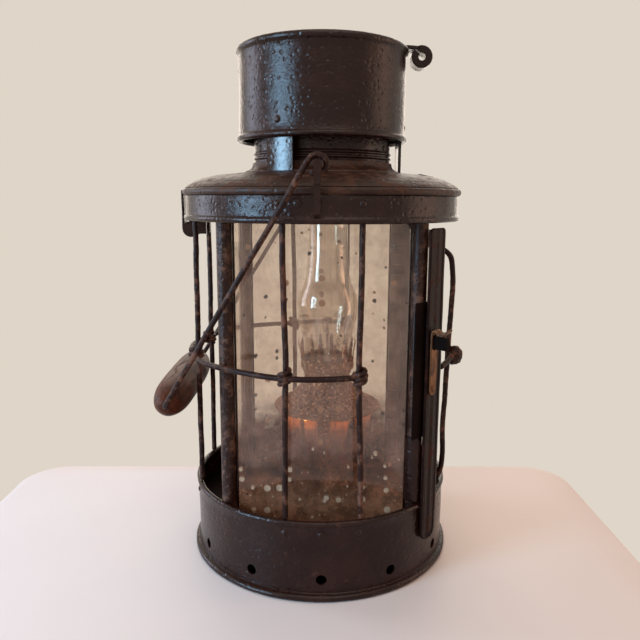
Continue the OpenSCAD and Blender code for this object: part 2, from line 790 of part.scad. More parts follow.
// Brass spring strip of the door catch, with a thumb hook at its top
module catch_spring() {
    hook_r = catch_ri + hook_out;
    tip_r = hook_r + 5;
    color("#9a6a3a") rotate([0, 0, catch_a]) difference() {
        translate([0, catch_w / 2, 0]) rotate([90, 0, 0]) linear_extrude(catch_w)
            polygon([[catch_ri, catch_low], [catch_ro, catch_low], [catch_ro, catch_top - 1.5],
                [hook_r, catch_top - 4.1], [hook_r + 1.2, catch_top - 3.9], [tip_r + 0.6, catch_top - 0.2],
                [tip_r - 0.6, catch_top + 0.3], [hook_r + 0.6, catch_top - 2.8],
                [hook_r, catch_top - 2.9], [catch_ro - 0.5, catch_top], [catch_ri, catch_top]]);
        // window over the keeper
        translate([catch_ri - 1, -keeper_w / 2 - 0.4, keeper_low - 1])
            cube([catch_t + 2, keeper_w + 0.8, keeper_top - keeper_low + 2.6]);
        translate([catch_ri - 1, 0, catch_low + 4]) rotate([0, 90, 0]) cylinder(r = 1.2, h = 4);
    }
}

module catch_rivet() {
    color("#7c5734") rotate([0, 0, catch_a]) translate([catch_ro + 0.1, 0, catch_low + 4])
        rotate([0, 90, 0]) {
            rivet(2.2, 1);
            translate([0, 0, -catch_t - 0.1]) cylinder(r = 1.1, h = catch_t + 0.1);
        }
}

// Places the bail: local -Z runs down its arms
module in_bail_frame() {
    translate([lug_x, 0, lug_z]) rotate([0, bail_a, 0]) children();
}

// Wire bail: an open eye round each lug pin, two arms, and one run through the grip
module bail_wire() {
    x = -eye_mean_r;
    y = grip_len / 2 + 3.6;
    color("#332a27") in_bail_frame() {
        for (s = [-1, 1]) translate([0, s * bail_y, 0]) {
            rotate([90, 95, 0])
                rotate_extrude(angle = 275) translate([eye_mean_r, 0]) circle(r = bail_r);
            translate([x, 0, 0]) sphere(r = bail_r + 0.04);
        }
        wire_run([[x, -bail_y, -0.2], [x, -bail_y, -arm_bend],
            [x, -y - 2.5, -bail_len + 9], [x, -y, -bail_len + 3], [x, -y + 3, -bail_len],
            [x, y - 3, -bail_len], [x, y, -bail_len + 3], [x, y + 2.5, -bail_len + 9],
            [x, bail_y, -arm_bend], [x, bail_y, -0.2]], bail_d);
    }
}

// Radius of the grip at a distance from its middle
function grip_radius(y) = grip_r * sqrt(1 - pow(abs(y) / (grip_len / 2 + 1), grip_power));

module bail_grip() {
    half = grip_len / 2;
    steps = 14;
    outline = [for (i = [-steps : steps]) let (y = half * sin(90 * i / steps)) [grip_radius(y), y]];
    color("#5a3124") in_bail_frame() translate([-eye_mean_r, 0, -bail_len]) rotate([90, 0, 0])
        rotate_extrude() polygon(concat([[bail_r + run, -half]], outline, [[bail_r + run, half]]));
}

module at_lamp() {
    translate([lamp_x, 0, 0]) children();
}

module lamp_holder() {
    color("#3b2d26") at_lamp() translate([0, 0, deck_top]) {
        tube(holder_ri + sheet, holder_ri, font_lift + 9);
        translate([0, 0, font_lift - 0.1]) tube(holder_ri + sheet / 2, holder_ri - 7, sheet);
    }
}

module font() {
    corner = 6;
    color("#a5602f") at_lamp() translate([0, 0, font_z]) difference() {
        font_body(font_r, font_h, corner);
        translate([0, 0, font_wall])
            font_body(font_r - font_wall, font_h - 2 * font_wall, corner - font_wall);
        translate([0, 0, -1]) cylinder(r = air_ro + 0.1, h = font_h);
        translate([0, 0, font_h / 2]) cylinder(r = wick_tube_ro + 0.1, h = font_h);
    }
}

// A drum with its lower edge rounded
module font_body(r, h, corner) {
    rotate_extrude() {
        square([r - corner, h]);
        translate([0, corner]) square([r, h - corner]);
        intersection() {
            translate([r - corner, corner]) circle(corner);
            square([r, corner]);
        }
    }
}

// Wire ring soldered to the right of the font, to lift the lamp by
module font_ring() {
    ring_x = font_r + 11;
    color("#6a4a34") at_lamp() translate([ring_x, 0, font_z + 13]) {
        rotate([90, 0, 0]) rotate_extrude() translate([7.6, 0]) circle(r = 1.2);
        translate([-11 + 0.05, 0, 0]) rotate([0, 90, 0]) cylinder(r = 1.6, h = 3);
    }
}

// Brim and perforated cone of the burner
module burner_cone() {
    color("#6b4a36") at_lamp() difference() {
        translate([0, 0, brim_z]) rotate_extrude()
            polygon([[wick_tube_ro + 0.1, 0], [brim_r, 0], [brim_r, sheet], [24, 6.5], [16.5, 14],
                [cone_top_r, 19], [cone_top_r, cone_h], [cone_top_r - sheet, cone_h],
                [cone_top_r - sheet, 19], [15.5, 13.6], [23.2, 5.8], [brim_r - 3, sheet],
                [wick_tube_ro + 0.1, sheet]]);
        rotate([0, 0, spindle_a]) translate([10, -spindle_off, spindle_z]) rotate([0, 90, 0])
            cylinder(r = spindle_r + run, h = 30);
        for (i = [0 : 11]) rotate([0, 0, spindle_a + 15 + i * 30])
            translate([10, 0, brim_z + 16.2]) rotate([0, 90, 0]) cylinder(r = 1.5, h = 12);
    }
}

module air_tube() {
    color("#7b5a3c") at_lamp() translate([0, 0, font_z])
        tube(air_ro, air_ro - tube_t, tube_top - font_z);
}

module wick_tube() {
    low = font_z + font_h / 2 + 6;
    color("#7b5a3c") at_lamp() difference() {
        translate([0, 0, low]) tube(wick_tube_ro, wick_tube_ri, tube_top - low);
        // slot through which the pinion reaches the wick
        rotate([0, 0, spindle_a]) translate([-3, -wick_tube_ro - 1, spindle_z - 4]) cube([6, 4, 8]);
    }
}

module wick() {
    low = font_z + 9;
    color("#cdbfa4") at_lamp() translate([0, 0, low]) tube(wick_ro, wick_ri, wick_top - low);
}

// Spindle with its pinion and the knob that turns it
module wick_winder() {
    color("#8a633c") at_lamp() rotate([0, 0, spindle_a]) translate([0, -spindle_off, spindle_z])
        rotate([0, 90, 0]) {
            translate([0, 0, -4]) cylinder(r = spindle_r, h = knob_in + 6);
            translate([0, 0, -2]) cylinder(r = pinion_r, h = 4);
            translate([0, 0, knob_in]) cylinder(r = knob_r, h = 3);
        }
}

// Gallery: the cup with prongs that holds the chimney
module gallery() {
    color("#a07a4c") at_lamp() translate([0, 0, gallery_z]) {
        tube(gallery_r, wick_tube_ro + 1.5, sheet);
        tube(gallery_r, gallery_r - sheet, gallery_h);
        for (i = [0 : prong_count - 1]) rotate([0, 0, i * 360 / prong_count])
            translate([gallery_r - sheet, -prong_w / 2, prong_foot])
                cube([sheet * 0.9, prong_w, prong_h]);
    }
}

module flame_spreader() {
    bar = 2 * (air_ro - tube_t - 0.1);
    color("#a07a4c") at_lamp() {
        translate([0, 0, tube_top - 8]) cylinder(r = 0.9, h = spreader_rise + 9);
        translate([0, 0, tube_top + spreader_rise]) cylinder(r = spreader_r, h = 1.2);
        translate([0, 0, tube_top + spreader_rise + 1.1]) rivet(spreader_r, spreader_r / 2);
        translate([-bar / 2, -0.8, tube_top - 8]) cube([bar, 1.6, 1.6]);
    }
}

// Glass chimney: foot, bulge, and a long neck
module chimney() {
    rise = chimney_top - chimney_z;
    heights = [0, 19, 25, 33, 44, 50, 56, 68, rise];
    radii = [chimney_r, chimney_r, chimney_r + 1.8, bulge_r, bulge_r, bulge_r - 2,
        chimney_top_r + 2.4, chimney_top_r + 0.5, chimney_top_r];
    last = len(heights) - 1;
    color([0.85, 0.85, 0.8, 0.3]) at_lamp() translate([0, 0, chimney_z]) rotate_extrude()
        polygon(concat([for (i = [0 : last]) [radii[i], heights[i]]],
            [for (i = [last : -1 : 0]) [radii[i] - chimney_t, heights[i]]]));
}

base_shell();
base_floor();
base_rivets();
lamp_deck();
post(-1, -1);  // post_front_left
post(1, -1);  // post_front_right
post(-1, 1);  // post_back_left
post(1, 1);  // post_back_right
post_sleeve();
window_gusset();
pane(-90, post_y, front_half);  // front_glass
pane(180, post_x, side_half);  // left_glass
pane(90, post_y, front_half);  // back_glass
crown_plate();
canopy_band();
band_rivets();
bail_lug(-1);  // bail_lug_front
bail_lug(1);  // bail_lug_back
guard_wire(-90 - front_wire_a, -1, -0.3);  // guard_wire_front_left
guard_wire(-90 + front_wire_a, 0.7, 1.6);  // guard_wire_front_right
guard_wire(180 + side_wire_a, 0.5, 0.3);  // guard_wire_left_front
guard_wire(180 - side_wire_a, -0.4, 0);  // guard_wire_left_back
guard_wire(90 + front_wire_a, 0.6, -0.4);  // guard_wire_back_left
guard_wire(90 - front_wire_a, -0.5, 0.5);  // guard_wire_back_right
guard_ring();
lid_hinge_ears();
lid_hinge_pin();
lid();
lid_strap();
lid_tab();
neck();
neck_rivets();
hood();
hood_cap();
hood_stays();
hood_rivets();
lift_loop();
door_hinge_arms();
door_hinge_pins();
door_frame();
door_hinge_leaves();
door_glass();
door_guard_wires();
door_cross_wire();
catch_keeper();
catch_spring();
catch_rivet();
bail_wire();
bail_grip();
lamp_holder();
font();
font_ring();
burner_cone();
air_tube();
wick_tube();
wick();
wick_winder();
gallery();
flame_spreader();
chimney();
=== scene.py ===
import math

import bmesh
import bpy
from mathutils import Matrix, Vector, noise


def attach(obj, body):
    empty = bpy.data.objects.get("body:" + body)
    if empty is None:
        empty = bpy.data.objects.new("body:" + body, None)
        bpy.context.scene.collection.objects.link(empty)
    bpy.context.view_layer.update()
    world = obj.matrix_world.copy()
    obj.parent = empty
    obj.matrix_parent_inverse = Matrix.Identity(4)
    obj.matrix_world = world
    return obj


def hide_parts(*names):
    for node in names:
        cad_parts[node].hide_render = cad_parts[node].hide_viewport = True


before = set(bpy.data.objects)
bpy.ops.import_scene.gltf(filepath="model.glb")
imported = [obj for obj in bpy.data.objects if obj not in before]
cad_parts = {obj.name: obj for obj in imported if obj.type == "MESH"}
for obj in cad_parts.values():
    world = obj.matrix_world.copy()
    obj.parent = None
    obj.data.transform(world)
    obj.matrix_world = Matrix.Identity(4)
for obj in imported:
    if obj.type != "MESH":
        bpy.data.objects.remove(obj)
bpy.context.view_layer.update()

# ---- Camera
# The photograph was taken from just above the hood, 40 cm in front of the lantern, looking down a little.
MM = 0.001
yaw, pitch, roll = math.radians(0.416), math.radians(10.475), math.radians(0.267)
ahead = Vector((math.sin(yaw) * math.cos(pitch), math.cos(yaw) * math.cos(pitch), -math.sin(pitch)))
level = Vector((math.cos(yaw), -math.sin(yaw), 0))
above = level.cross(ahead)
right = level * math.cos(roll) + above * math.sin(roll)
up = above * math.cos(roll) - level * math.sin(roll)
camera = bpy.data.objects.new("camera", bpy.data.cameras.new("camera"))
bpy.context.scene.collection.objects.link(camera)
camera.data.sensor_fit = "HORIZONTAL"
camera.data.sensor_width = 36
camera.data.lens = 36.27
camera.data.clip_start = 0.01
camera.matrix_world = Matrix((
    (right.x, up.x, -ahead.x, -3.63 * MM),
    (right.y, up.y, -ahead.y, -402.49 * MM),
    (right.z, up.z, -ahead.z, 218.19 * MM),
    (0, 0, 0, 1)))
bpy.context.scene.camera = camera
bpy.context.scene.view_settings.view_transform = "Standard"

# ---- Table top
# A small white-painted table with rounded corners, under soft daylight; its back edge is just behind
# the lantern.


def linear(code):
    """The linear colour of an sRGB hex value."""
    values = [int(code[i:i + 2], 16) / 255 for i in (1, 3, 5)]
    return tuple(v / 12.92 if v <= 0.04045 else ((v + 0.055) / 1.055) ** 2.4 for v in values) + (1,)


def add(material, kind, settings=None, **links):
    """Adds a node with its properties and socket values, and links its inputs to other nodes' outputs."""
    tree = material.node_tree
    item = tree.nodes.new(kind)
    for name, value in (settings or {}).items():
        if isinstance(name, int) or name in item.inputs:
            item.inputs[name].default_value = value
        else:
            setattr(item, name, value)
    for name, source in links.items():
        socket = item.inputs[int(name[1:])] if name[0] == "i" and name[1:].isdigit() else \
            item.inputs[name.replace("_", " ")]
        tree.links.new(source, socket)
    return item


def new_material(name):
    material = bpy.data.materials.new(name)
    material.use_nodes = True
    material.node_tree.nodes.clear()
    return material


def finish_with(material, shader):
    output = add(material, "ShaderNodeOutputMaterial")
    material.node_tree.links.new(shader, output.inputs["Surface"])
    return material


def in_millimetres(material):
    """The piece's own coordinates in millimetres, for patterns with real sizes."""
    place = add(material, "ShaderNodeTexCoord")
    return add(material, "ShaderNodeVectorMath", {"operation": "SCALE", "Scale": 1000},
               i0=place.outputs["Object"]).outputs[0]


def mixed_colour(material, share, first, second):
    """first where share is 0 and second where it is 1; each is a hex value or another node's output."""
    item = add(material, "ShaderNodeMix", {"data_type": "RGBA"}, i0=share)
    for index, colour in ((6, first), (7, second)):
        if isinstance(colour, str):
            item.inputs[index].default_value = linear(colour)
        else:
            material.node_tree.links.new(colour, item.inputs[index])
    return item.outputs[2]


def mesh_object(name, vertices, faces, material, sharp_angle=40, merge=0):
    """A mesh piece from points in millimetres; edges that bend by more than sharp_angle stay crisp."""
    mesh = bpy.data.meshes.new(name)
    mesh.from_pydata([Vector(v) * MM for v in vertices], [], faces)
    body = bmesh.new()
    body.from_mesh(mesh)
    if merge:
        bmesh.ops.remove_doubles(body, verts=body.verts, dist=merge * MM)
    bmesh.ops.recalc_face_normals(body, faces=body.faces)
    for face in body.faces:
        face.smooth = True
    for edge in body.edges:
        if len(edge.link_faces) == 2:
            edge.smooth = edge.calc_face_angle(0) < math.radians(sharp_angle)
    body.to_mesh(mesh)
    body.free()
    mesh.materials.append(material)
    piece = bpy.data.objects.new(name, mesh)
    bpy.context.scene.collection.objects.link(piece)
    return piece


table_paint = new_material("satin_white_table_paint")
table_mm = in_millimetres(table_paint)
table_cloud = add(table_paint, "ShaderNodeTexNoise", {"Scale": 1 / 90, "Detail": 3}, Vector=table_mm)
table_colour = mixed_colour(table_paint, table_cloud.outputs["Fac"], "#e6d8d3", "#ece0da")
table_bsdf = add(table_paint, "ShaderNodeBsdfPrincipled", {"Roughness": 0.5, "Specular IOR Level": 0.2},
                 Base_Color=table_colour)
finish_with(table_paint, table_bsdf.outputs["BSDF"])
table_outline = []
for corner_x, corner_y, start in ((166, 76, 0), (-204, 76, 90), (-204, -420, 180), (166, -420, 270)):
    for step in range(9):
        a = math.radians(start + step * 11.25)
        table_outline.append((corner_x + 32 * math.cos(a), corner_y + 32 * math.sin(a)))
count = len(table_outline)
levels = [(0, -26), (0, -3), (-0.9, -0.9), (-3, 0)]
table_points = [(x * (1 + inset / 200), (y + 150) * (1 + inset / 260) - 150, z)
                for inset, z in levels for x, y in table_outline]
table_faces = [(k * count + i, k * count + (i + 1) % count, (k + 1) * count + (i + 1) % count, (k + 1) * count + i)
               for k in range(3) for i in range(count)]
table_faces += [tuple(range(3 * count, 4 * count)), tuple(reversed(range(count)))]
table = mesh_object("table_top", table_points, table_faces, table_paint)

# ---- Daylight
# A tall window at the front left, cooler than the room, the pale ceiling above, and warm walls at the right
# and behind.
world = bpy.data.worlds.new("room")
bpy.context.scene.world = world
world.use_nodes = True
world.node_tree.nodes.clear()
rays = add(world, "ShaderNodeLightPath")
seen_or_glossy = add(world, "ShaderNodeMath", {"operation": "MAXIMUM"},
                     i0=rays.outputs["Is Camera Ray"], i1=rays.outputs["Is Glossy Ray"])
seen = add(world, "ShaderNodeMath", {"operation": "MAXIMUM"},
           i0=seen_or_glossy.outputs[0], i1=rays.outputs["Is Transmission Ray"])
ambient = add(world, "ShaderNodeBackground", {"Color": linear("#f9e6d8"), "Strength": 0.4})
wall = add(world, "ShaderNodeBackground", {"Color": linear("#dfd5c8"), "Strength": 1})
room_light = add(world, "ShaderNodeMixShader", None, i0=seen.outputs[0],
                 i1=ambient.outputs[0], i2=wall.outputs[0])
world_output = add(world, "ShaderNodeOutputWorld")
world.node_tree.links.new(room_light.outputs[0], world_output.inputs["Surface"])


def panel_light(name, place, target, width, height, power, colour):
    """A soft rectangular light, aimed at a point; places in millimetres."""
    data = bpy.data.lights.new(name, "AREA")
    data.shape = "RECTANGLE"
    data.size, data.size_y = width * MM, height * MM
    data.energy = power
    data.color = linear(colour)[:3]
    lamp = bpy.data.objects.new(name, data)
    lamp.location = Vector(place) * MM
    lamp.rotation_euler = (Vector(target) - Vector(place)).to_track_quat("-Z", "Y").to_euler()
    bpy.context.scene.collection.objects.link(lamp)
    return lamp


panel_light("window_left", (-1180, -760, 380), (0, 0, 190), 420, 700, 28, "#a2d0f2")
panel_light("window_side", (-1240, 420, 420), (0, 0, 190), 420, 800, 6, "#dde6ff")
panel_light("ceiling", (80, -640, 1200), (0, -160, 60), 1100, 1100, 5.4, "#fff0e4")
panel_light("wall_right", (1100, -50, 260), (0, 0, 170), 260, 900, 2.6, "#ffcdb4")
panel_light("wall_behind", (0, 900, 500), (0, 0, 150), 1200, 800, 5, "#fff0e2")

# ---- Paint and iron
# Oil paint over mild steel sheet, nearly a century old: brown-black, brushed on thick, pitted by rust and
# dust, glossy on the high places and dull where rust comes through.


def painted_iron(name, paint, scuff, rust, rust_share, gloss, pit_mm=1.7, pit_height=0.16, shine=0.24):
    """Aged paint on iron. pit_mm is the spacing of the pits and pit_height their depth, in millimetres, and
    shine the specular level."""
    material = new_material(name)
    scale = in_millimetres(material)
    # cloudy wear, patches about 25 mm across
    patches = add(material, "ShaderNodeTexNoise", {"Scale": 1 / 25, "Detail": 6, "Roughness": 0.65},
                  Vector=scale)
    # rust blooms, a few millimetres across
    blooms = add(material, "ShaderNodeTexNoise", {"Scale": 1 / 6, "Detail": 6, "Roughness": 0.72}, Vector=scale)
    # brush marks and grit, drawn out sideways
    brushed = add(material, "ShaderNodeMapping", {"Scale": (0.42, 0.42, 1.15)}, Vector=scale).outputs[0]
    grit = add(material, "ShaderNodeTexNoise", {"Scale": 1 / pit_mm, "Detail": 4, "Roughness": 0.62},
               Vector=brushed)
    pits = add(material, "ShaderNodeTexVoronoi", {"Scale": 1 / (pit_mm * 2.4), "Randomness": 1}, Vector=scale)
    together = add(material, "ShaderNodeMath", {"operation": "MULTIPLY_ADD", 1: 0.5},
                   i0=patches.outputs["Fac"], i2=blooms.outputs["Fac"])
    rusty = add(material, "ShaderNodeMapRange",
                {"From Min": 0.92 - rust_share * 0.35, "From Max": 1.0 - rust_share * 0.2},
                Value=together.outputs[0])
    worn = add(material, "ShaderNodeMapRange", {"From Min": 0.46, "From Max": 0.68}, Value=patches.outputs["Fac"])
    worn_paint = mixed_colour(material, worn.outputs[0], paint, scuff)
    shade = mixed_colour(material, rusty.outputs[0], worn_paint, rust)
    dulled = add(material, "ShaderNodeMapRange",
                 {"From Min": 0.3, "From Max": 0.7, "To Min": gloss, "To Max": gloss + 0.14},
                 Value=grit.outputs["Fac"])
    rough = add(material, "ShaderNodeMath", {"operation": "MULTIPLY_ADD", 1: 0.3},
                i0=rusty.outputs[0], i2=dulled.outputs[0])
    pit_depth = add(material, "ShaderNodeMapRange", {"From Min": 0, "From Max": 0.35}, Value=pits.outputs["Distance"])
    relief = add(material, "ShaderNodeMath", {"operation": "MULTIPLY_ADD", 1: 0.9},
                 i0=grit.outputs["Fac"], i2=pit_depth.outputs[0])
    swell = add(material, "ShaderNodeMath", {"operation": "MULTIPLY_ADD", 1: 1.2},
                i0=blooms.outputs["Fac"], i2=relief.outputs[0])
    bump = add(material, "ShaderNodeBump", {"Strength": 0.9, "Distance": pit_height * MM},
               Height=swell.outputs[0])
    shader = add(material, "ShaderNodeBsdfPrincipled", {"IOR": 1.5, "Specular IOR Level": shine},
                 Base_Color=shade, Roughness=rough.outputs[0], Normal=bump.outputs[0])
    return finish_with(material, shader.outputs["BSDF"])


black_paint = painted_iron("aged_brown_black_paint", "#210d09", "#2e1610", "#3f2118", 0.12, 0.13, 1.5, 0.3)
smooth_paint = painted_iron("smooth_black_paint", "#210d09", "#2e1610", "#3f2118", 0.08, 0.1, 1.7, 0.1, 0.4)
rusty_paint = painted_iron("rust_brown_lid_paint", "#2a150e", "#392016", "#472a1c", 0.5, 0.3, 1.5, 0.3)
dark_iron = painted_iron("burnt_dark_iron", "#120906", "#1c0f0b", "#281610", 0.5, 0.55, shine=0.12)
# painted shade: near-black, dull paint for the partly hidden catch keeper, standing in for the shade it sits in
keeper_shade_black_iron = painted_iron("keeper_shade_black_iron", "#0e0605", "#170c09", "#20120e", 0.3, 0.7, shine=0.05)
wire_iron = painted_iron("oxidised_wire_iron", "#1f0c08", "#321810", "#6e4a3a", 0.44, 0.36, 1.3, 0.34, 0.16)
post_paint = painted_iron("pitted_post_paint", "#26100a", "#3a221a", "#6a4a3a", 0.5, 0.24, 1.1, 0.3, 0.22)
faded_iron = painted_iron("dust_faded_iron", "#4c3a31", "#735d50", "#7c6655", 0.6, 0.6, 2.2, 0.2)


def dress(material, *names):
    """Gives CAD nodes a material."""
    for name in names:
        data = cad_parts[name].data
        data.materials.clear()
        data.materials.append(material)


def fit(piece, body, slot, *nodes):
    """Puts a made piece on its body and lets it stand for CAD nodes, which it hides; slot is not used."""
    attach(piece, body)
    if nodes:
        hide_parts(*nodes)
    return piece


dress(black_paint, "base_rivets", "band_rivets", "bail_lug_front", "bail_lug_back", "neck_rivets",
      "hood_rivets", "lid_hinge_ears", "lid_tab", "post_sleeve", "window_gusset", "door_frame", "door_hinge_arms", "door_hinge_pins",
      "door_hinge_leaves", "lid_hinge_pin")
dress(smooth_paint, "hood_stays")
dress(post_paint, "post_front_left", "post_front_right")
dress(faded_iron, "post_back_left", "post_back_right")
# the keeper's near-black colour is painted shade
dress(keeper_shade_black_iron, "catch_keeper")
dress(dark_iron, "font_ring", "base_floor", "lamp_deck", "crown_plate", "hood_cap", "lamp_holder")

# ---- Base
# A drum of sheet iron on a rolled foot, lapped and riveted at the back left, with a wired rim and twelve
# punched air holes; slightly dented by use.


def bow(centre, radius, start, end, count):
    """Points on an arc, angles in degrees: a curve in a turned profile."""
    return [(centre[0] + radius * math.cos(math.radians(start + (end - start) * i / count)),
             centre[1] + radius * math.sin(math.radians(start + (end - start) * i / count)))
            for i in range(count + 1)]


def rise(low, high, step=5):
    """Heights from low to high, about a step apart."""
    parts = max(1, round(abs(high - low) / step))
    return [low + (high - low) * i / parts for i in range(parts + 1)]


def turned(name, profile, material, centre=(0, 0), segments=144, dent=0.0, seed=0.0, lap=None, loop=True,
           sharp_angle=50):
    """A piece turned or bent round the upright axis from (radius, height) points. dent is the depth of slow
    dents in millimetres, and lap = (angle, lap's height, low, high) a lapped seam."""
    vertices = []
    for k in range(segments):
        a = 2 * math.pi * k / segments
        for r, z in profile:
            d = dent * noise.noise(Vector((2.1 * math.cos(a) + seed, 2.1 * math.sin(a), z / 30)))
            d += 0.5 * dent * noise.noise(Vector((6 * math.cos(a), 6 * math.sin(a) + seed, z / 11)))
            if lap and lap[2] < z < lap[3]:
                turn = (math.degrees(a) - lap[0]) % 360
                d += lap[1] * (turn / 4 if turn < 4 else 1 if turn < 12 else max(0, 1 - (turn - 12) / 1.2))
            grown = max(0, r + d * min(1, r / 10))
            vertices.append((centre[0] + grown * math.cos(a), centre[1] + grown * math.sin(a), z))
    n = len(profile)
    faces = []
    for k in range(segments):
        for i in range(n if loop else n - 1):
            here, there = k * n, (k + 1) % segments * n
            faces.append((here + i, there + i, there + (i + 1) % n, here + (i + 1) % n))
    return mesh_object(name, vertices, faces, material, sharp_angle, merge=0.001)


def pierce(piece, holes):
    """Cuts round holes: each is a start point, a direction, a length and a radius, in millimetres."""
    cutter_mesh = bpy.data.meshes.new("punch")
    body = bmesh.new()
    for start, direction, length, radius in holes:
        turn = Vector(direction).to_track_quat("Z", "Y").to_matrix().to_4x4()
        middle = Vector(start) + Vector(direction).normalized() * length / 2
        bmesh.ops.create_cone(body, cap_ends=True, segments=24, radius1=radius * MM, radius2=radius * MM,
                              depth=length * MM, matrix=Matrix.Translation(middle * MM) @ turn)
    body.to_mesh(cutter_mesh)
    body.free()
    cutter = bpy.data.objects.new("punch", cutter_mesh)
    bpy.context.scene.collection.objects.link(cutter)
    cut = piece.modifiers.new("holes", "BOOLEAN")
    cut.operation = "DIFFERENCE"
    cut.solver = "EXACT"
    cut.use_self = True
    cut.object = cutter
    bpy.context.view_layer.update()
    result = bpy.data.meshes.new_from_object(piece.evaluated_get(bpy.context.evaluated_depsgraph_get()))
    piece.modifiers.clear()
    piece.data = result
    bpy.data.objects.remove(cutter)
    return piece


base_profile = ([(78, 1.2), (78.3, 0.15)] + bow((80, 2), 2, -90, 95, 9)
                + [(79, z) for z in rise(4.6, 43.3)] + bow((78.2, 45), 1.8, -60, 215, 12)
                + [(78, z) for z in rise(42.6, 1.2)][:-1])
base = turned("base_drum", base_profile, black_paint, segments=180, dent=0.35, seed=3.1,
              lap=(128, 0.5, 4.8, 43))
holes = []
for k in range(12):
    a = math.radians(-90 + k * 30)
    holes.append(((70 * math.cos(a), 70 * math.sin(a), 12.4), (math.cos(a), math.sin(a), 0), 16, 3))
pierce(base, holes)
fit(base, "body", "iron_paint", "base_shell")

# ---- Canopy band
# A sheet-iron band with a rolled lower edge. It rests on the cage, carries the crown plate and the bail's
# lugs, and is lapped at the right.
band_profile = (bow((81.3, 208.5), 1.8, -250, 62, 13) + [(82, z) for z in rise(210.4, 220.4, 3)]
                + [(81.8, 220.9), (81.1, 220.9)] + [(81, z) for z in rise(220.3, 211, 3)])
band = turned("canopy_band", band_profile, black_paint, segments=180, dent=0.25, seed=8.4,
              lap=(-38, 0.35, 210.5, 221))
fit(band, "body", "iron_paint", "canopy_band")

# ---- Lid
# A shallow spun dome with a rolled edge and a raised collar. Its paint has burnt off in the heat and it has
# rusted a dull brown.
lid_profile = (bow((81.8, 223.05), 2, 205, 460, 13)
               + [(80.6, 225), (80.3, 226.3), (79.3, 227.2)]
               + [(48.5 + 33.4 * math.cos(math.radians(t)), 223.4 + 10.4 * math.sin(math.radians(t)))
                  for t in (27, 33, 41, 50, 60, 70, 80, 90)]
               + [(47.4, 233.9), (47.1, 234.7), (46, 235.3), (44.2, 236), (42.9, 237), (42.2, 238.3), (41.9, 240), (40.9, 240),
                  (40.9, 237.4), (43.4, 235), (46, 233.6)]
               + [(48.5 + 34.3 * math.cos(math.radians(t)), 223.4 + 9.4 * math.sin(math.radians(t)))
                  for t in (85, 75, 65, 55, 45, 35, 26, 18, 12)])
lid = turned("domed_lid", lid_profile, rusty_paint, segments=180, dent=0.45, seed=5.7)
fit(lid, "top", "iron_paint", "lid")

# ---- Neck and hood
# The neck is a plain tube with two swaged beads. The hood is a wider drum on three riveted stays, wired top
# and bottom and lapped at the left; smoke leaves between the two.
neck_profile = ([(40.8, z) for z in rise(235.9, 241.2)] + bow((40.8, 242.4), 0.75, -75, 75, 5)
                + [(40.8, 243.7)] + bow((40.8, 245), 0.75, -75, 75, 5)
                + [(40.8, z) for z in rise(246.6, 283.5)] + [(40.5, 283.8), (40.1, 283.8)]
                + [(39.8, z) for z in rise(283.4, 235.9)])
neck = turned("neck_tube", neck_profile, black_paint, dent=0.2, seed=1.3)
fit(neck, "top", "iron_paint", "neck")
hood_profile = (bow((49.4, 253.8), 1.7, -240, 90, 13) + [(49.1, z) for z in rise(256, 300.4)]
                + bow((48.6, 303.1), 2.15, -60, 210, 13) + [(48, z) for z in rise(301, 255.8)][:-1])
hood = turned("hood_drum", hood_profile, black_paint, segments=160, dent=0.3, seed=6.2,
              lap=(172, 0.45, 255.7, 300.9))
fit(hood, "top", "iron_paint", "hood")

# ---- Guard
# Six iron wires from the base rim to the crown plate, and a ring round the outside, bound to each wire with
# two or three turns of softer wire. All of it has been bent and straightened by hand more than once.


def smooth_path(points, step=1.6):
    """A curve through the points, as a list about step millimetres apart."""
    points = [Vector(p) for p in points]
    points = [points[0] * 2 - points[1]] + points + [points[-1] * 2 - points[-2]]
    path = []
    for a, b, c, d in zip(points, points[1:], points[2:], points[3:]):
        spans = [max(1e-3, (q - p).length) ** 0.5 for p, q in ((a, b), (b, c), (c, d))]
        m1 = (c - b) + ((b - a) / spans[0] - (c - a) / (spans[0] + spans[1])) * spans[1]
        m2 = (c - b) + ((d - c) / spans[2] - (d - b) / (spans[1] + spans[2])) * spans[1]
        parts = max(1, round((c - b).length / step))
        for i in range(parts):
            t = i / parts
            path.append(b * (2 * t ** 3 - 3 * t ** 2 + 1) + m1 * (t ** 3 - 2 * t ** 2 + t)
                        + c * (3 * t ** 2 - 2 * t ** 3) + m2 * (t ** 3 - t ** 2))
    path.append(points[-2])
    return path


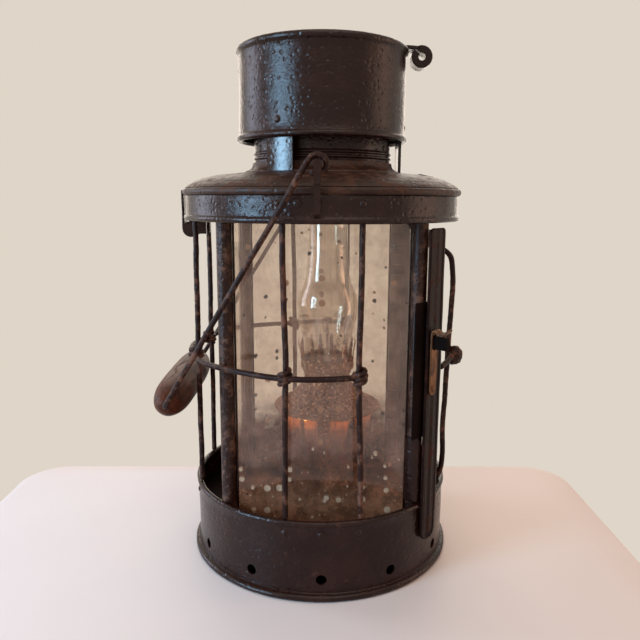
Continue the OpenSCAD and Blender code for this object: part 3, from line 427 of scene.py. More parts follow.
def wire(name, points, diameter, material, waver=0.0, seed=0.0, sides=12, step=1.6, at=None):
    """A round wire along a smooth curve through points in millimetres, with its ends filed round. waver is
    how far it wanders from its line, and at a matrix that places it."""
    path = smooth_path(points, step)
    count = len(path)
    for i, p in enumerate(path):
        fade = min(1, i / 6, (count - 1 - i) / 6)
        path[i] = p + noise.noise_vector(Vector((p.x / 24 + seed, p.y / 24, p.z / 24))) * waver * fade
    vertices, faces = [], []
    ahead_now = (path[1] - path[0]).normalized()
    side = ahead_now.orthogonal().normalized()
    rings = [(0, -0.42, 0.55), (0, -0.16, 0.88)] + [(i, 0, 1) for i in range(count)] + \
        [(count - 1, 0.16, 0.88), (count - 1, 0.42, 0.55)]
    for i, slip, thin in rings:
        following = (path[min(i + 1, count - 1)] - path[max(i - 1, 0)]).normalized()
        side = ahead_now.rotation_difference(following) @ side
        ahead_now = following
        across = following.cross(side).normalized()
        for k in range(sides):
            a = 2 * math.pi * k / sides
            worn = 1 + 0.11 * noise.noise(path[i] * 0.45 + Vector((seed, 3 * math.cos(a), 3 * math.sin(a))))
            out = (side * math.cos(a) + across * math.sin(a)) * diameter / 2 * thin * worn
            vertices.append(path[i] + out + following * slip * diameter / 2)
    for i in range(len(rings) - 1):
        for k in range(sides):
            faces.append((i * sides + k, i * sides + (k + 1) % sides, (i + 1) * sides + (k + 1) % sides,
                          (i + 1) * sides + k))
    faces += [tuple(reversed(range(sides))), tuple(range((len(rings) - 1) * sides, len(rings) * sides))]
    if at is not None:
        vertices = [at @ v for v in vertices]
    return mesh_object(name, vertices, faces, material, 60)


def joined(name, *pieces):
    """Several meshes of one material as one piece."""
    body = bmesh.new()
    for piece in pieces:
        body.from_mesh(piece.data)
    mesh = bpy.data.meshes.new(name)
    body.to_mesh(mesh)
    body.free()
    mesh.materials.append(pieces[0].data.materials[0])
    for piece in pieces:
        bpy.data.objects.remove(piece)
    result = bpy.data.objects.new(name, mesh)
    bpy.context.scene.collection.objects.link(result)
    return result


def round_axis(radius, degrees, z):
    """A point at a radius and an angle round the lantern's axis."""
    return Vector((radius * math.cos(math.radians(degrees)), radius * math.sin(math.radians(degrees)), z))


def binding(name, middle, outward, seed):
    """Turns of soft wire round an upright and the ring that crosses just outside it."""
    along = Vector((0, 0, 1)).cross(outward)
    points = []
    for i in range(27):
        t = i / 26
        a = math.radians(200 + 1060 * t)
        swell = 1 - 0.25 * (2 * t - 1) ** 2
        points.append(middle + outward * (1.5 + 3.6 * swell * math.cos(a)) + along * 3.1 * swell * math.sin(a)
                      + Vector((0, 0, 7.4 * (t - 0.5) + 0.6 * math.sin(a))))
    return wire(name, points, 2.7, wire_iron, 0.35, seed, sides=8, step=1.2)


guard_feet = {"guard_wire_front_left": (-104.5, -1, -0.3), "guard_wire_front_right": (-75.5, 0.7, 1.6),
              "guard_wire_left_front": (198, 0.5, 0.3), "guard_wire_left_back": (162, -0.4, 0),
              "guard_wire_back_left": (104.5, 0.6, -0.4), "guard_wire_back_right": (75.5, -0.5, 0.5)}
bindings = []
for number, (node, (a, top_shift, low_shift)) in enumerate(guard_feet.items()):
    upright = wire(node.replace("guard_wire", "cage_wire"),
                   [round_axis(77.5, a + low_shift, 47.6), round_axis(77.5, a + low_shift * 0.5, 85),
                    round_axis(77.5, a, 116), round_axis(77.5, a, 139),
                    round_axis(77.5, a + top_shift * 0.55, 178), round_axis(77.5, a + top_shift, 214.2)],
                   3.2, wire_iron, 0.5, number * 7.7)
    fit(upright, "body", "iron_wire", node)
    outward = round_axis(1, a, 0)
    bindings.append(binding("turns", round_axis(77.5, a, 127.5), outward, number * 3.3))
ring_line = [round_axis(80.9, 75.5 - 1.5 + 212 * i / 30, 127.5 + 0.5 * math.sin(i * 0.9)) for i in range(31)]
ring = wire("guard_ring", ring_line, 3.2, wire_iron, 0.3, 4.4)
ring = joined("guard_ring_and_bindings", ring, *bindings)
fit(ring, "body", "iron_wire", "guard_ring")

# ---- Bail
# One iron wire with an eye at each end, hung on the two lugs and carrying the grip in its middle; it hangs
# down on the left.
bail_angle = math.radians(31.4)
in_bail = Matrix.Translation(Vector((-3, 0, 235.2))) @ Matrix.Rotation(bail_angle, 4, "Y")
eye_points = [(4.6 * math.cos(math.radians(t)), 4.6 * math.sin(math.radians(t))) for t in range(-100, 161, 20)]
half_line = [Vector((x, -88.1, z)) for x, z in eye_points] + [
    Vector((-4.7, -88.1, -4)), Vector((-4.3, -88.3, -24)), Vector((-4.2, -87.2, -58)), Vector((-4.2, -80, -90)),
    Vector((-4.2, -63.6, -143.8)), Vector((-4.2, -60.6, -152.2)), Vector((-4.2, -56.2, -155.75)),
    Vector((-4.2, -30, -155.8))]
bail_line = half_line + [Vector((p.x, -p.y, p.z)) for p in reversed(half_line)]
bail = wire("bail_wire", bail_line, 3, wire_iron, 0.22, 2.0, at=in_bail, step=1.3)
fit(bail, "bail", "iron_wire", "bail_wire")

# ---- Wooden grip
# A turned hardwood barrel that spins on the bail; dark and shiny from hands and oil, with a long drying
# crack and dirty end grain round the wire.
hardwood = new_material("hand_worn_hardwood")
wood_mm = in_millimetres(hardwood)
stretch = add(hardwood, "ShaderNodeMapping", {"Scale": (1, 0.09, 1)}, Vector=wood_mm)
grain = add(hardwood, "ShaderNodeTexNoise", {"Scale": 1 / 1.8, "Detail": 7, "Roughness": 0.65, "Distortion": 0.6},
            Vector=stretch.outputs[0])
broad = add(hardwood, "ShaderNodeTexNoise", {"Scale": 1 / 11, "Detail": 4}, Vector=wood_mm)
grain_share = add(hardwood, "ShaderNodeMapRange", {"From Min": 0.35, "From Max": 0.68}, Value=grain.outputs["Fac"])
grain_colour = mixed_colour(hardwood, grain_share.outputs[0], "#5e301e", "#2b140c")
dirt_share = add(hardwood, "ShaderNodeMapRange", {"From Min": 0.48, "From Max": 0.72, "To Max": 0.75},
                 Value=broad.outputs["Fac"])
wood_colour = mixed_colour(hardwood, dirt_share.outputs[0], grain_colour, "#241511")
wood_rough = add(hardwood, "ShaderNodeMapRange", {"To Min": 0.36, "To Max": 0.6}, Value=grain.outputs["Fac"])
wood_bump = add(hardwood, "ShaderNodeBump", {"Strength": 0.5, "Distance": 0.12 * MM}, Height=grain.outputs["Fac"])
wood_bsdf = add(hardwood, "ShaderNodeBsdfPrincipled", {"Specular IOR Level": 0.14},
                Base_Color=wood_colour, Roughness=wood_rough.outputs[0], Normal=wood_bump.outputs[0])
finish_with(hardwood, wood_bsdf.outputs["BSDF"])

grip_profile = [(1.62, 56), (1.62, -56)]
for i in range(-40, 41):
    y = 56 * math.sin(math.radians(90 * i / 40))
    grip_profile.append((11.05 * math.sqrt(1 - (abs(y) / 57) ** 4.5), y))
grip_vertices, grip_faces, turns = [], [], 96
for k in range(turns):
    a = 2 * math.pi * k / turns
    for r, z in grip_profile:
        if r > 2:
            # the crack wanders round the barrel as it runs along it
            crack_at = 2.2 + 0.35 * noise.noise(Vector((z / 18, 0, 0))) + 0.004 * z
            away = abs((a - crack_at + math.pi) % (2 * math.pi) - math.pi) * r
            r -= 1.1 * max(0, 1 - away / 0.75) * max(0, 1 - (abs(z + 8) / 46) ** 6)
            r += 0.16 * noise.noise(Vector((2 * math.cos(a), 2 * math.sin(a), z / 14)))
        grip_vertices.append((r * math.cos(a), r * math.sin(a), z))
n = len(grip_profile)
for k in range(turns):
    for i in range(n):
        grip_faces.append((k * n + i, (k + 1) % turns * n + i, (k + 1) % turns * n + (i + 1) % n,
                           k * n + (i + 1) % n))
on_the_bail = in_bail @ Matrix.Translation(Vector((-4.2, 0, -155.8))) @ Matrix.Rotation(math.radians(90), 4, "X")
grip = mesh_object("wooden_grip", [on_the_bail @ Vector(v) for v in grip_vertices], grip_faces, hardwood, 50)
fit(grip, "grip", "wood", "bail_grip")

# ---- Lift loop
# A strip of iron riveted inside the hood, bent out over its rim and curled into an eye, used to lift and tip
# the hot top.


def strap(name, points, width, thickness, material, across, step=1.4, ends=(0, 0), at=None):
    """A bent strip of sheet along a smooth curve through points. across is its width direction, width a
    number or a list of widths spread along it, and ends how far each end is rounded off, in millimetres."""
    path = smooth_path(points, step)
    across = Vector(across).normalized()
    widths = width if isinstance(width, list) else [width, width]
    lengths = [0.0]
    for a, b in zip(path, path[1:]):
        lengths.append(lengths[-1] + (b - a).length)
    vertices, faces = [], []
    edge = min(0.4, thickness * 0.3)
    for i, p in enumerate(path):
        following = (path[min(i + 1, len(path) - 1)] - path[max(i - 1, 0)]).normalized()
        out = following.cross(across).normalized()
        place = lengths[i] / lengths[-1] * (len(widths) - 1)
        low = min(int(place), len(widths) - 2)
        half = (widths[low] + (widths[low + 1] - widths[low]) * (place - low)) / 2
        for far, rounding in ((lengths[i], ends[0]), (lengths[-1] - lengths[i], ends[1])):
            if rounding and far < rounding:
                half -= rounding * 0.9 * (1 - math.sqrt(max(0, 1 - (1 - far / rounding) ** 2)))
        half, thin = max(half, 0.3), thickness / 2
        for w, t in ((-half, edge - thin), (edge - half, -thin), (half - edge, -thin), (half, edge - thin),
                     (half, thin - edge), (half - edge, thin), (edge - half, thin), (-half, thin - edge)):
            vertices.append(p + across * w + out * t)
    for i in range(len(path) - 1):
        faces += [(i * 8 + k, i * 8 + (k + 1) % 8, (i + 1) * 8 + (k + 1) % 8, (i + 1) * 8 + k) for k in range(8)]
    faces += [tuple(reversed(range(8))), tuple(range(len(path) * 8 - 8, len(path) * 8))]
    if at is not None:
        vertices = [at @ v for v in vertices]
    return mesh_object(name, vertices, faces, material, 35)


curl = [Vector((57.95 + (4.45 - 0.5 * t / 340) * math.cos(math.radians(115 - t)), 0,
                301.05 + (4.45 - 0.5 * t / 340) * math.sin(math.radians(115 - t)))) for t in range(0, 341, 20)]
leg = strap("leg", [(44.75, 0, 290.7), (44.75, 0, 299), (44.9, 0, 304.5), (46.4, 0, 306.2), (52, 0, 306.3),
                    (56.5, 0, 305.9)], 11, 2.1, black_paint, (0, 1, 0), step=1.1)
loop = joined("curled_lift_loop", leg, strap("curl", curl, 11, 4.2, black_paint, (0, 1, 0), step=1.1))
fit(loop, "top", "iron_paint", "lift_loop")

# ---- Lid hinge
# A strap riveted under the lid's rim and rolled round a pin at the left, so that the whole top swings over.
knuckle = [Vector((-79.75 + 4.4 * math.cos(math.radians(t)), 0, 201.2 + 4.4 * math.sin(math.radians(t))))
           for t in range(180, 461, 20)]
hinge = strap("rolled_hinge_strap", [(-84.2, 0, 224.1), (-84.25, 0, 220), (-84.1, 0, 211)] + knuckle, 12, 1.5,
              black_paint, (0, 1, 0), step=1.1)
fit(hinge, "top", "iron_paint", "lid_strap")

# ---- Door
# Two curved stiles of folded sheet and two flat rails hold the fourth pane; two wires and a cross wire guard
# it. The stiles are a little buckled, and rubbed red-brown at their outer folds.
door_paint = painted_iron("worn_door_paint", "#170806", "#22100b", "#3a1c13", 0.36, 0.3, 1.5, 0.2, 0.1)


def stile(name, low_angle, high_angle, top_round, foot_round):
    """A curved upright of the door: a bent sheet with a raised fold down its middle and hemmed edges."""
    width = math.radians(high_angle - low_angle) * 81.9
    outline = [(0, 0), (0.04, 0.55), (0.16, 0.6), (0.2, 0.15), (0.4, 0.05), (0.46, 0.5), (0.54, 0.58),
               (0.6, 0.1), (0.82, 0.12), (0.86, 0.62), (0.96, 0.55), (1, 0)]
    heights = rise(23, 23 + foot_round, 0.8)[:-1] + rise(23 + foot_round, 204 - top_round, 6) \
        + rise(204 - top_round, 204, 0.6)[1:]
    vertices = []
    for z in heights:
        pull = 0
        for reach, radius in ((z - 23, foot_round), (204 - z, top_round)):
            if reach < radius:
                pull = radius - math.sqrt(max(0, radius ** 2 - (radius - reach) ** 2))
        pull = min(pull, width / 2 - 0.4) / width
        for u, lift in outline:
            share = pull + u * (1 - 2 * pull)
            buckle = 0.3 * noise.noise(Vector((share * 2, z / 23, low_angle)))
            vertices.append(round_axis(81.35 + lift + min(0.25, buckle), low_angle
                                       + (high_angle - low_angle) * share, z))
        for u, lift in reversed(outline):
            share = pull + u * (1 - 2 * pull)
            vertices.append(round_axis(80.4, low_angle + (high_angle - low_angle) * share, z))
    n = 2 * len(outline)
    faces = [(k * n + i, k * n + (i + 1) % n, (k + 1) * n + (i + 1) % n, (k + 1) * n + i)
             for k in range(len(heights) - 1) for i in range(n)]
    half = len(outline)
    for k in (0, len(heights) - 1):
        faces += [(k * n + i, k * n + i + 1, k * n + n - 2 - i, k * n + n - 1 - i) for i in range(half - 1)]
    return mesh_object(name, vertices, faces, door_paint, 35)


def slab(name, low, high, material, edge=0.5):
    """A flat plate between two corners, its edges eased."""
    body = bmesh.new()
    bmesh.ops.create_cube(body, size=1)
    for v in body.verts:
        v.co = [(low[i] if v.co[i] < 0 else high[i]) * MM for i in range(3)]
    bmesh.ops.bevel(body, geom=body.edges[:], offset=edge * MM, segments=2, affect="EDGES", profile=0.6)
    mesh = bpy.data.meshes.new(name)
    body.to_mesh(mesh)
    body.free()
    mesh.materials.append(material)
    piece = bpy.data.objects.new(name, mesh)
    bpy.context.scene.collection.objects.link(piece)
    return piece


front_stile = stile("stile", -44.8, -33.5, 3, 6)
back_stile = stile("stile", 33.5, 44.8, 0.8, 0.8)
bars = [slab("bar", (66.3, -46, z), (67.8, 46, z + 11), door_paint) for z in (48.5, 190)]
bars += [slab("bar", (66.4, s * 41.5 - 3.5, 59.3), (67.7, s * 41.5 + 3.5, 190.2), door_paint) for s in (-1, 1)]
door = joined("folded_door_frame", front_stile, back_stile, *bars)
fit(door, "door", "iron_paint", "door_frame")

for s, side in ((-1, "front"), (1, "back")):
    y = 21 * s
    wire_line = [(68.1, y, 190), (71.5, y, 190.1), (76.1, y, 186.2), (77.6, y - 0.3, 176), (77.9, y + 0.5, 160),
                 (77.5, y, 147.6), (76.7, y, 134.6), (76.7, y, 120.4), (76.3, y + 0.6, 105.4),
                 (75.6, y - 0.5, 80), (75.3, y + 0.3, 54), (73.6, y, 49.2), (68.1, y, 48.6)]
    guard = wire("door_wire_" + side, wire_line, 3.2, wire_iron, 0.55, 3 + s)
    fit(guard, "door", "iron_wire", *(["door_guard_wires"] if s < 0 else []))


def lump(name, centre, radii, material, seed, rough):
    """A hammered lump: a ball flattened into facets."""
    body = bmesh.new()
    bmesh.ops.create_icosphere(body, subdivisions=4, radius=1)
    facets = [noise.noise_vector(Vector((seed, i * 1.7, 3))).normalized() for i in range(26)]
    for v in body.verts:
        reach = 1.0
        for f in facets:
            facing = v.co.dot(f)
            if facing > 0.2:
                reach = min(reach, 0.9 / facing)
        d = reach + rough * noise.noise(v.co * 2.4 + Vector((seed, 0, 0)))
        v.co = Vector([centre[i] + v.co[i] * radii[i] * d for i in range(3)]) * MM
    for face in body.faces:
        face.smooth = True
    mesh = bpy.data.meshes.new(name)
    body.to_mesh(mesh)
    body.free()
    mesh.materials.append(material)
    piece = bpy.data.objects.new(name, mesh)
    bpy.context.scene.collection.objects.link(piece)
    return piece


knobs = [lump("knob", (80.65, 21 * s, 126.3), (5.2, 5.4, 6.1), wire_iron, 4.2 + s, 0.1) for s in (-1, 1)]
cross = wire("cross", [(69.6, -39, 123.5), (75.6, -30.5, 125.4), (79.9, -21, 127.5), (80.3, 0, 127.2),
                       (79.9, 21, 127.5), (75.6, 30.5, 125.4), (69.6, 39, 123.5)], 3.2, wire_iron, 0.25, 9.1)
cross = joined("door_cross_wire_and_knobs", cross, *knobs)
fit(cross, "door", "iron_wire", "door_cross_wire")

# ---- Catch
# A springy brass strip riveted to the front stile. Its slot drops over the iron keeper, and its hooked top is
# pulled out with a fingertip.


def old_metal(name, colour, tarnish, dull, share, rough, drawn=1.0, detail=6):
    """Bare copper or brass: tarnish in cloudy patches about 9 mm across, pulled out along the height by
    1 / drawn, and a skin of dust. Pulled out far, as on the copper font, the patches become upright bands
    that are painted reflection as well as tarnish."""
    material = new_material(name)
    scale = in_millimetres(material)
    pulled = add(material, "ShaderNodeMapping", {"Scale": (1, 1, drawn)}, Vector=scale)
    cloud = add(material, "ShaderNodeTexNoise", {"Scale": 1 / 9, "Detail": detail, "Roughness": 0.65},
                Vector=pulled.outputs[0])
    spots = add(material, "ShaderNodeTexNoise", {"Scale": 1 / 1.6, "Detail": 4, "Roughness": 0.7}, Vector=scale)
    # worn picks out the tarnish; on the copper its upright bands are painted reflection as well
    worn = add(material, "ShaderNodeMapRange", {"From Min": 0.62 - share * 0.3, "From Max": 0.72 - share * 0.2},
               Value=cloud.outputs["Fac"])
    dusted = add(material, "ShaderNodeMapRange", {"From Min": 0.53, "From Max": 0.62, "To Max": 0.8},
                 Value=spots.outputs["Fac"])
    base_shade = mixed_colour(material, worn.outputs[0], colour, tarnish)
    shade = mixed_colour(material, dusted.outputs[0], base_shade, dull)
    roughness = add(material, "ShaderNodeMapRange", {"To Min": rough, "To Max": rough + 0.3},
                    Value=worn.outputs[0])
    metallic = add(material, "ShaderNodeMapRange", {"To Min": 1, "To Max": 0.45}, Value=worn.outputs[0])
    bump = add(material, "ShaderNodeBump", {"Strength": 0.4, "Distance": 0.08 * MM}, Height=spots.outputs["Fac"])
    shader = add(material, "ShaderNodeBsdfPrincipled", None, Base_Color=shade,
                 Roughness=roughness.outputs[0], Metallic=metallic.outputs[0], Normal=bump.outputs[0])
    return finish_with(material, shader.outputs["BSDF"])


# on the copper font the tarnish is pulled out into tall upright bands: painted reflection on the round font, over
# real tarnish
copper = old_metal("dull_spun_copper", "#e88038", "#5c2810", "#c07a48", 0.34, 0.12, 0.04, 1)
brass = old_metal("aged_brass", "#6e4a30", "#442a1b", "#5c4230", 0.6, 0.4)
dusty_brass = old_metal("dust_browned_brass", "#845233", "#623a24", "#d8b088", 0.9, 0.5)
spring_line = [round_axis(r, -41.5, z) for r, z in (
    (82.75, 111.3), (82.7, 118), (82.75, 127), (82.7, 136), (82.7, 143), (82.9, 147.2), (84.1, 148.4),
    (86.6, 146.6), (88.4, 146.2), (90, 147.2), (93, 149.9))]
spring = strap("brass_catch_spring", spring_line, [6.2, 6.4, 6.4, 6.2, 5.2], 1.1, brass,
               (math.sin(math.radians(41.5)), math.cos(math.radians(41.5)), 0), step=1, ends=(2.4, 1.6))
pierce(spring, [(round_axis(80.5, -41.5, 138.9 + 0.7 * i), round_axis(1, -41.5, 0), 4.5, 1.85) for i in range(9)])
fit(spring, "catch", "brass", "catch_spring")
dress(brass, "catch_rivet")

# ---- Window glass
# Four panes of old drawn glass, brown with lamp smoke and dust low down, with drops of dried varnish, dark
# fly specks and pale flecks of lime.


def spots(material, sheet, spacing, radius, high_share, low_share, falling, ragged):
    """A mask of ragged spots up to radius mm, in a share of cells spacing mm wide: high_share where falling
    is 0 and low_share where it is 1."""
    cells = add(material, "ShaderNodeTexVoronoi", {"voronoi_dimensions": "2D", "Scale": 1 / spacing,
                                                   "Randomness": 1}, Vector=sheet)
    rag = add(material, "ShaderNodeTexNoise", {"noise_dimensions": "2D", "Scale": 1 / 1.1, "Detail": 3},
              Vector=sheet)
    edge = add(material, "ShaderNodeMath", {"operation": "MULTIPLY_ADD", 1: ragged},
               i0=rag.outputs["Fac"], i2=cells.outputs["Distance"])
    chance = add(material, "ShaderNodeSeparateColor", None, Color=cells.outputs["Color"])
    share = add(material, "ShaderNodeMapRange", {"To Min": high_share, "To Max": low_share}, Value=falling)
    over = add(material, "ShaderNodeMath", {"operation": "ADD"}, i0=chance.outputs[0], i1=share.outputs[0])
    size = add(material, "ShaderNodeMapRange",
               {"From Min": 1, "From Max": 1 + max(high_share, low_share), "To Min": 0,
                "To Max": radius / spacing + ragged}, Value=over.outputs[0])
    inside = add(material, "ShaderNodeMath", {"operation": "SUBTRACT"}, i0=size.outputs[0], i1=edge.outputs[0])
    mask = add(material, "ShaderNodeMapRange", {"From Min": -0.01, "From Max": 0.02}, Value=inside.outputs[0])
    return mask.outputs[0]


def dusty_glass(name, haze_top, haze_foot, low, high, top_colour, foot_colour, flecks, shine_on, shine_edge):
    """Clear glass under a film. The film's cover goes from haze_foot at the height low to haze_top at high,
    flecks is the share of spots on it, and shine_on and shine_edge its reflection straight on and edge on."""
    material = new_material(name)
    scale = in_millimetres(material)
    axes = add(material, "ShaderNodeSeparateXYZ", None, Vector=scale)
    normal = add(material, "ShaderNodeTexCoord").outputs["Normal"]
    facing = add(material, "ShaderNodeSeparateXYZ", None, Vector=normal)
    sideways = add(material, "ShaderNodeMath", {"operation": "ABSOLUTE"}, i0=facing.outputs[0])
    chosen = add(material, "ShaderNodeMath", {"operation": "GREATER_THAN", 1: 0.5}, i0=sideways.outputs[0])
    along = add(material, "ShaderNodeMix", {"data_type": "FLOAT"}, i0=chosen.outputs[0], i2=axes.outputs[0],
                i3=axes.outputs[1])
    sheet = add(material, "ShaderNodeCombineXYZ", None, i0=along.outputs[0], i1=axes.outputs[2]).outputs[0]
    wander = add(material, "ShaderNodeTexNoise", {"Scale": 1 / 30, "Detail": 4, "Roughness": 0.6}, Vector=scale)
    shifted = add(material, "ShaderNodeMath", {"operation": "MULTIPLY_ADD", 1: 46},
                  i0=wander.outputs["Fac"], i2=axes.outputs[2])
    falling = add(material, "ShaderNodeMapRange",
                  {"From Min": low + 23, "From Max": high + 23, "To Min": 1, "To Max": 0,
                   "interpolation_type": "SMOOTHSTEP"}, Value=shifted.outputs[0])
    cloud = add(material, "ShaderNodeTexNoise", {"Scale": 1 / 9, "Detail": 5, "Roughness": 0.66}, Vector=scale)
    uneven = add(material, "ShaderNodeMapRange",
                 {"From Min": 0.38, "From Max": 0.62, "To Min": 0.5, "To Max": 1.4}, Value=cloud.outputs["Fac"])
    film = add(material, "ShaderNodeMapRange", {"To Min": haze_top, "To Max": haze_foot}, Value=falling.outputs[0])
    cover = add(material, "ShaderNodeMath", {"operation": "MULTIPLY", "use_clamp": True},
                i0=film.outputs[0], i1=uneven.outputs[0])
    dirt = add(material, "ShaderNodeTexNoise", {"Scale": 1 / 8, "Detail": 5, "Roughness": 0.7}, Vector=scale)
    darker = add(material, "ShaderNodeMapRange", {"From Min": 0.43, "From Max": 0.57}, Value=dirt.outputs["Fac"])
    foot_dirt = mixed_colour(material, darker.outputs[0], foot_colour, "#3f2417")
    browner = add(material, "ShaderNodeMapRange", {"From Max": 0.4}, Value=falling.outputs[0])
    # painted light: the film is made paler towards the very foot, behind the rim of the base, to offset the shade the
    # rim casts there
    painted_light_at_foot = add(material, "ShaderNodeMapRange", {"From Min": 66, "From Max": 44, "To Min": 0, "To Max": 0.4},
                  Value=axes.outputs[2])
    foot_dirt_and_painted_light = mixed_colour(material, painted_light_at_foot.outputs[0], foot_dirt, "#b47c5c")
    film_colour = mixed_colour(material, browner.outputs[0], top_colour, foot_dirt_and_painted_light)
    # dried varnish drops, up to 1.8 mm in radius
    brown = spots(material, sheet, 10, 1.7, 0.24 * flecks, 0.08 * flecks, falling.outputs[0], 0.06)
    with_brown = mixed_colour(material, brown, film_colour, "#94664a")
    # pale flecks of lime and dust, thickest low down
    across = add(material, "ShaderNodeMapping", {"Location": (31, 17, 0)}, Vector=sheet).outputs[0]
    pale = spots(material, across, 7, 2.0, 0.16 * flecks, 0.6 * flecks, browner.outputs[0], 0.03)
    with_pale = mixed_colour(material, pale, with_brown, "#bd9f84")
    # fine dust, in points half a millimetre wide
    shaken = add(material, "ShaderNodeMapping", {"Location": (11, -29, 0)}, Vector=sheet).outputs[0]
    dust = spots(material, shaken, 3.4, 0.55, 0.05 * flecks, 0.28 * flecks, falling.outputs[0], 0.04)
    with_dust = mixed_colour(material, dust, with_pale, "#a98a70")
    # dark specks of soot
    drift = add(material, "ShaderNodeMapping", {"Location": (-47, 5, 0)}, Vector=sheet).outputs[0]
    dark = spots(material, drift, 6, 0.7, 0.18 * flecks, 0.14 * flecks, falling.outputs[0], 0.16)
    with_dark = mixed_colour(material, dark, with_dust, "#3a2622")
    first = add(material, "ShaderNodeMath", {"operation": "MAXIMUM"}, i0=brown, i1=pale)
    finer = add(material, "ShaderNodeMath", {"operation": "MAXIMUM"}, i0=dust, i1=dark)
    second = add(material, "ShaderNodeMath", {"operation": "MAXIMUM"}, i0=first.outputs[0], i1=finer.outputs[0])
    # the drops and flecks are on the outer face only
    outward = add(material, "ShaderNodeVectorMath", {"operation": "DOT_PRODUCT"}, i0=normal, i1=scale)
    outside = add(material, "ShaderNodeMath", {"operation": "GREATER_THAN", 1: 0}, i0=outward.outputs["Value"])
    there = add(material, "ShaderNodeMath", {"operation": "MULTIPLY"}, i0=second.outputs[0], i1=outside.outputs[0])
    thick = add(material, "ShaderNodeMath", {"operation": "MULTIPLY", 1: 0.78}, i0=there.outputs[0])
    alpha = add(material, "ShaderNodeMath", {"operation": "MAXIMUM"}, i0=cover.outputs[0], i1=thick.outputs[0])
    film_shader = add(material, "ShaderNodeBsdfPrincipled", {"Roughness": 0.6, "Specular IOR Level": 0.2},
                      Base_Color=with_dark)
    clear = add(material, "ShaderNodeBsdfTransparent", {"Color": linear("#fdf9f4")})
    body = add(material, "ShaderNodeMixShader", None, i0=alpha.outputs[0], i1=clear.outputs[0],
               i2=film_shader.outputs[0])
    ripple = add(material, "ShaderNodeBump", {"Strength": 0.25, "Distance": 0.1 * MM}, Height=wander.outputs["Fac"])
    shine = add(material, "ShaderNodeBsdfGlossy", {"Roughness": 0.05, "Color": (1, 1, 1, 1)},
                Normal=ripple.outputs[0])
    # both faces of the sheet shine alike, a few hundredths straight on and much more edge on
    slope = add(material, "ShaderNodeLayerWeight", {"Blend": 0.5}, Normal=ripple.outputs[0])
    steep = add(material, "ShaderNodeMath", {"operation": "POWER", 1: 4}, i0=slope.outputs["Facing"])
    edge_on = add(material, "ShaderNodeMapRange", {"To Min": shine_on, "To Max": shine_edge}, Value=steep.outputs[0])
    shader = add(material, "ShaderNodeMixShader", None, i0=edge_on.outputs[0], i1=body.outputs[0],
                 i2=shine.outputs[0])
    return finish_with(material, shader.outputs[0])


pane_glass = dusty_glass("smoke_stained_window_glass", 0.13, 0.84, 50, 84, "#c29079", "#70412a", 1, 0.035, 0.3)
dress(pane_glass, "front_glass", "left_glass", "back_glass", "door_glass")

# ---- Putty
# A thin bead of putty, painted over with the iron, closes the slit between each fixed pane and its posts.
for name, x, y in (("front_left", -48.4, -50.3), ("front_right", 48.4, -50.3), ("back_left", -48.4, 50.3),
                   ("back_right", 48.4, 50.3), ("side_front", -53.38, -45.3), ("side_back", -53.38, 45.3)):
    bead = wire("putty_bead_" + name, [(x, y, z) for z in rise(28, 214)], 1.35, black_paint, 0.04, x + y, 8, 4)
    fit(bead, "body", "iron_paint")

# ---- Lamp
# A small oil lamp stands in the holder: a spun copper font with a finger ring, a wide pierced burner, a
# crown of bent prongs that grips the chimney, and a button over the wick that spreads the flame.
dress(dusty_brass, "wick_tube", "air_tube", "flame_spreader", "wick_winder")
font_profile = ([(5.6, 48.3), (19, 48.2)] + bow((19.5, 55.2), 7, -86, -20, 8)
                + [(27.2, 58), (28.3, 65), (29.2, 73), (29.8, 80), (29.9, 85.6), (29.5, 87.1), (28.4, 87.6),
                   (5.6, 87.6)])
font = turned("copper_font", font_profile, copper, (4, 0), 128, 0.25, 2.2)
fit(font, "body", "copper", "font")

burner_profile = ([(8.9, 87.9), (33, 87.9)] + bow((33.2, 88.7), 0.8, -90, 130, 6)
                  + [(31.6, 89.2), (28, 90.6), (24.1, 94.3), (20.4, 98.3), (16.6, 101.8), (15.1, 104),
                     (14.6, 107), (14.6, 110), (15.3, 110.6), (15.3, 111.6), (14.6, 112.2), (14.4, 112.8),
                     (13.8, 112.8), (13.7, 107), (14.2, 103.8), (15.7, 101.2), (19.6, 97.6), (23.3, 93.7),
                     (27.4, 89.9), (31, 88.5), (8.9, 88.5)])
burner = turned("pierced_burner", burner_profile, dusty_brass, (4, 0), 120, 0.12, 7.1)
punched = []
for row, (r, z, radius, number) in enumerate(((26, 92.3, 0.8, 34), (22.3, 96, 0.8, 30), (18.5, 99.9, 0.8, 26),
                                              (14.3, 105.2, 0.7, 20), (14.3, 108, 0.7, 20))):
    for i in range(number):
        a = 2 * math.pi * (i + 0.5 * (row % 2)) / number
        tip = 0.9 if row < 3 else 0
        punched.append(((4 + (r - 3) * math.cos(a), (r - 3) * math.sin(a), z - 3 * tip),
                        (math.cos(a), math.sin(a), tip), 8, radius))
pierce(burner, punched)
fit(burner, "body", "brass", "burner_cone")

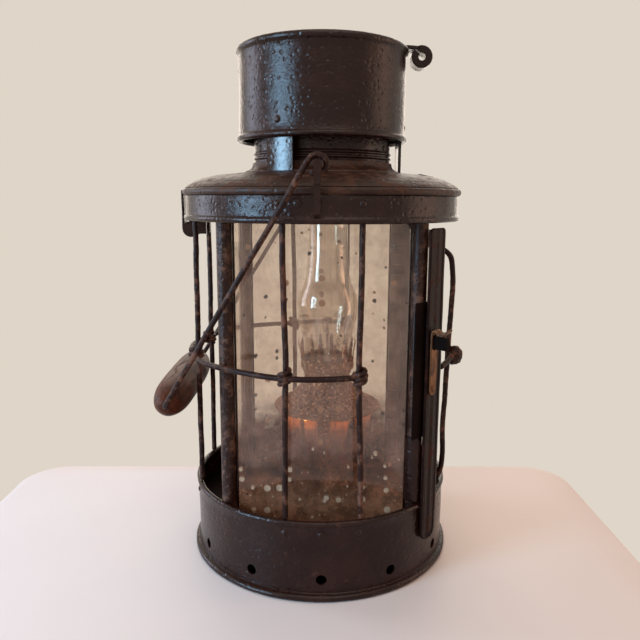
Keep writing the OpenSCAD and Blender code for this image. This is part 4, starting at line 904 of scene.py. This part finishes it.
cup = turned("gallery_cup", [(10.4, 113), (15.8, 113)] + bow((16, 113.9), 0.9, -90, 0, 4)
             + [(16.9, 116), (16.7, 118.6), (17.1, 119.6), (16.5, 120), (16.1, 118.8), (16.3, 116), (16, 114.2),
                (15.6, 113.6), (10.4, 113.6)], dusty_brass, (4, 0), 96, 0.1, 4.4)
prongs = []
for i in range(14):
    a = math.radians(i * 360 / 14 + 4 * math.sin(i * 2.3))
    lean = 0.6 * math.sin(i * 1.9)
    out = Vector((math.cos(a), math.sin(a), 0))
    prong = [Vector((4, 0, z)) + out * r for r, z in (
        (16.5, 118.4), (16.6, 122), (17.3 + lean, 126.5), (17.9 + lean, 130.2), (17.3 + lean, 132.2 - abs(lean)))]
    prongs.append(strap("prong", prong, [3, 2.8, 2.2, 1.7], 0.45, dusty_brass, (-out.y, out.x, 0), step=1.6,
                        ends=(0, 0.8)))
cup = joined("gallery_cup_and_prongs", cup, *prongs)
fit(cup, "body", "brass", "gallery")

chimney_line = smooth_path([Vector((r, 0, 114.3 + z)) for z, r in (
    (0, 15.5), (9, 15.4), (19, 15.6), (25, 17.3), (33, 18.9), (39, 19.2), (44, 18.7), (50, 16.7), (56, 14.3),
    (68, 12.7), (90, 12.1), (111.3, 12.2))], 2.2)
chimney_profile = [(p.x, p.z) for p in chimney_line] + [(11.7, 226)] \
    + [(p.x - 1.3, p.z) for p in reversed(chimney_line)]
chimney_glass = dusty_glass("lamp_chimney_glass", 0.1, 0.05, 112, 180, "#b8a89c", "#a08877", 0.5, 0.13, 0.45)
chimney = turned("blown_chimney", chimney_profile, chimney_glass, (4, 0), 96)
fit(chimney, "body", "glass", "chimney")

cotton = new_material("woven_cotton_wick")
cotton_mm = in_millimetres(cotton)
weave = add(cotton, "ShaderNodeTexWave", {"Scale": 1 / 1.1, "Distortion": 1.5, "bands_direction": "Z"},
            Vector=cotton_mm)
charred = add(cotton, "ShaderNodeSeparateXYZ", None, Vector=cotton_mm)
char = add(cotton, "ShaderNodeMapRange", {"From Min": 119, "From Max": 123}, Value=charred.outputs[2])
cotton_colour = mixed_colour(cotton, char.outputs[0], "#94846a", "#221c18")
cotton_bump = add(cotton, "ShaderNodeBump", {"Strength": 0.6, "Distance": 0.3 * MM}, Height=weave.outputs["Fac"])
cotton_bsdf = add(cotton, "ShaderNodeBsdfPrincipled", {"Roughness": 0.9}, Base_Color=cotton_colour,
                  Normal=cotton_bump.outputs[0])
finish_with(cotton, cotton_bsdf.outputs["BSDF"])
dress(cotton, "wick")
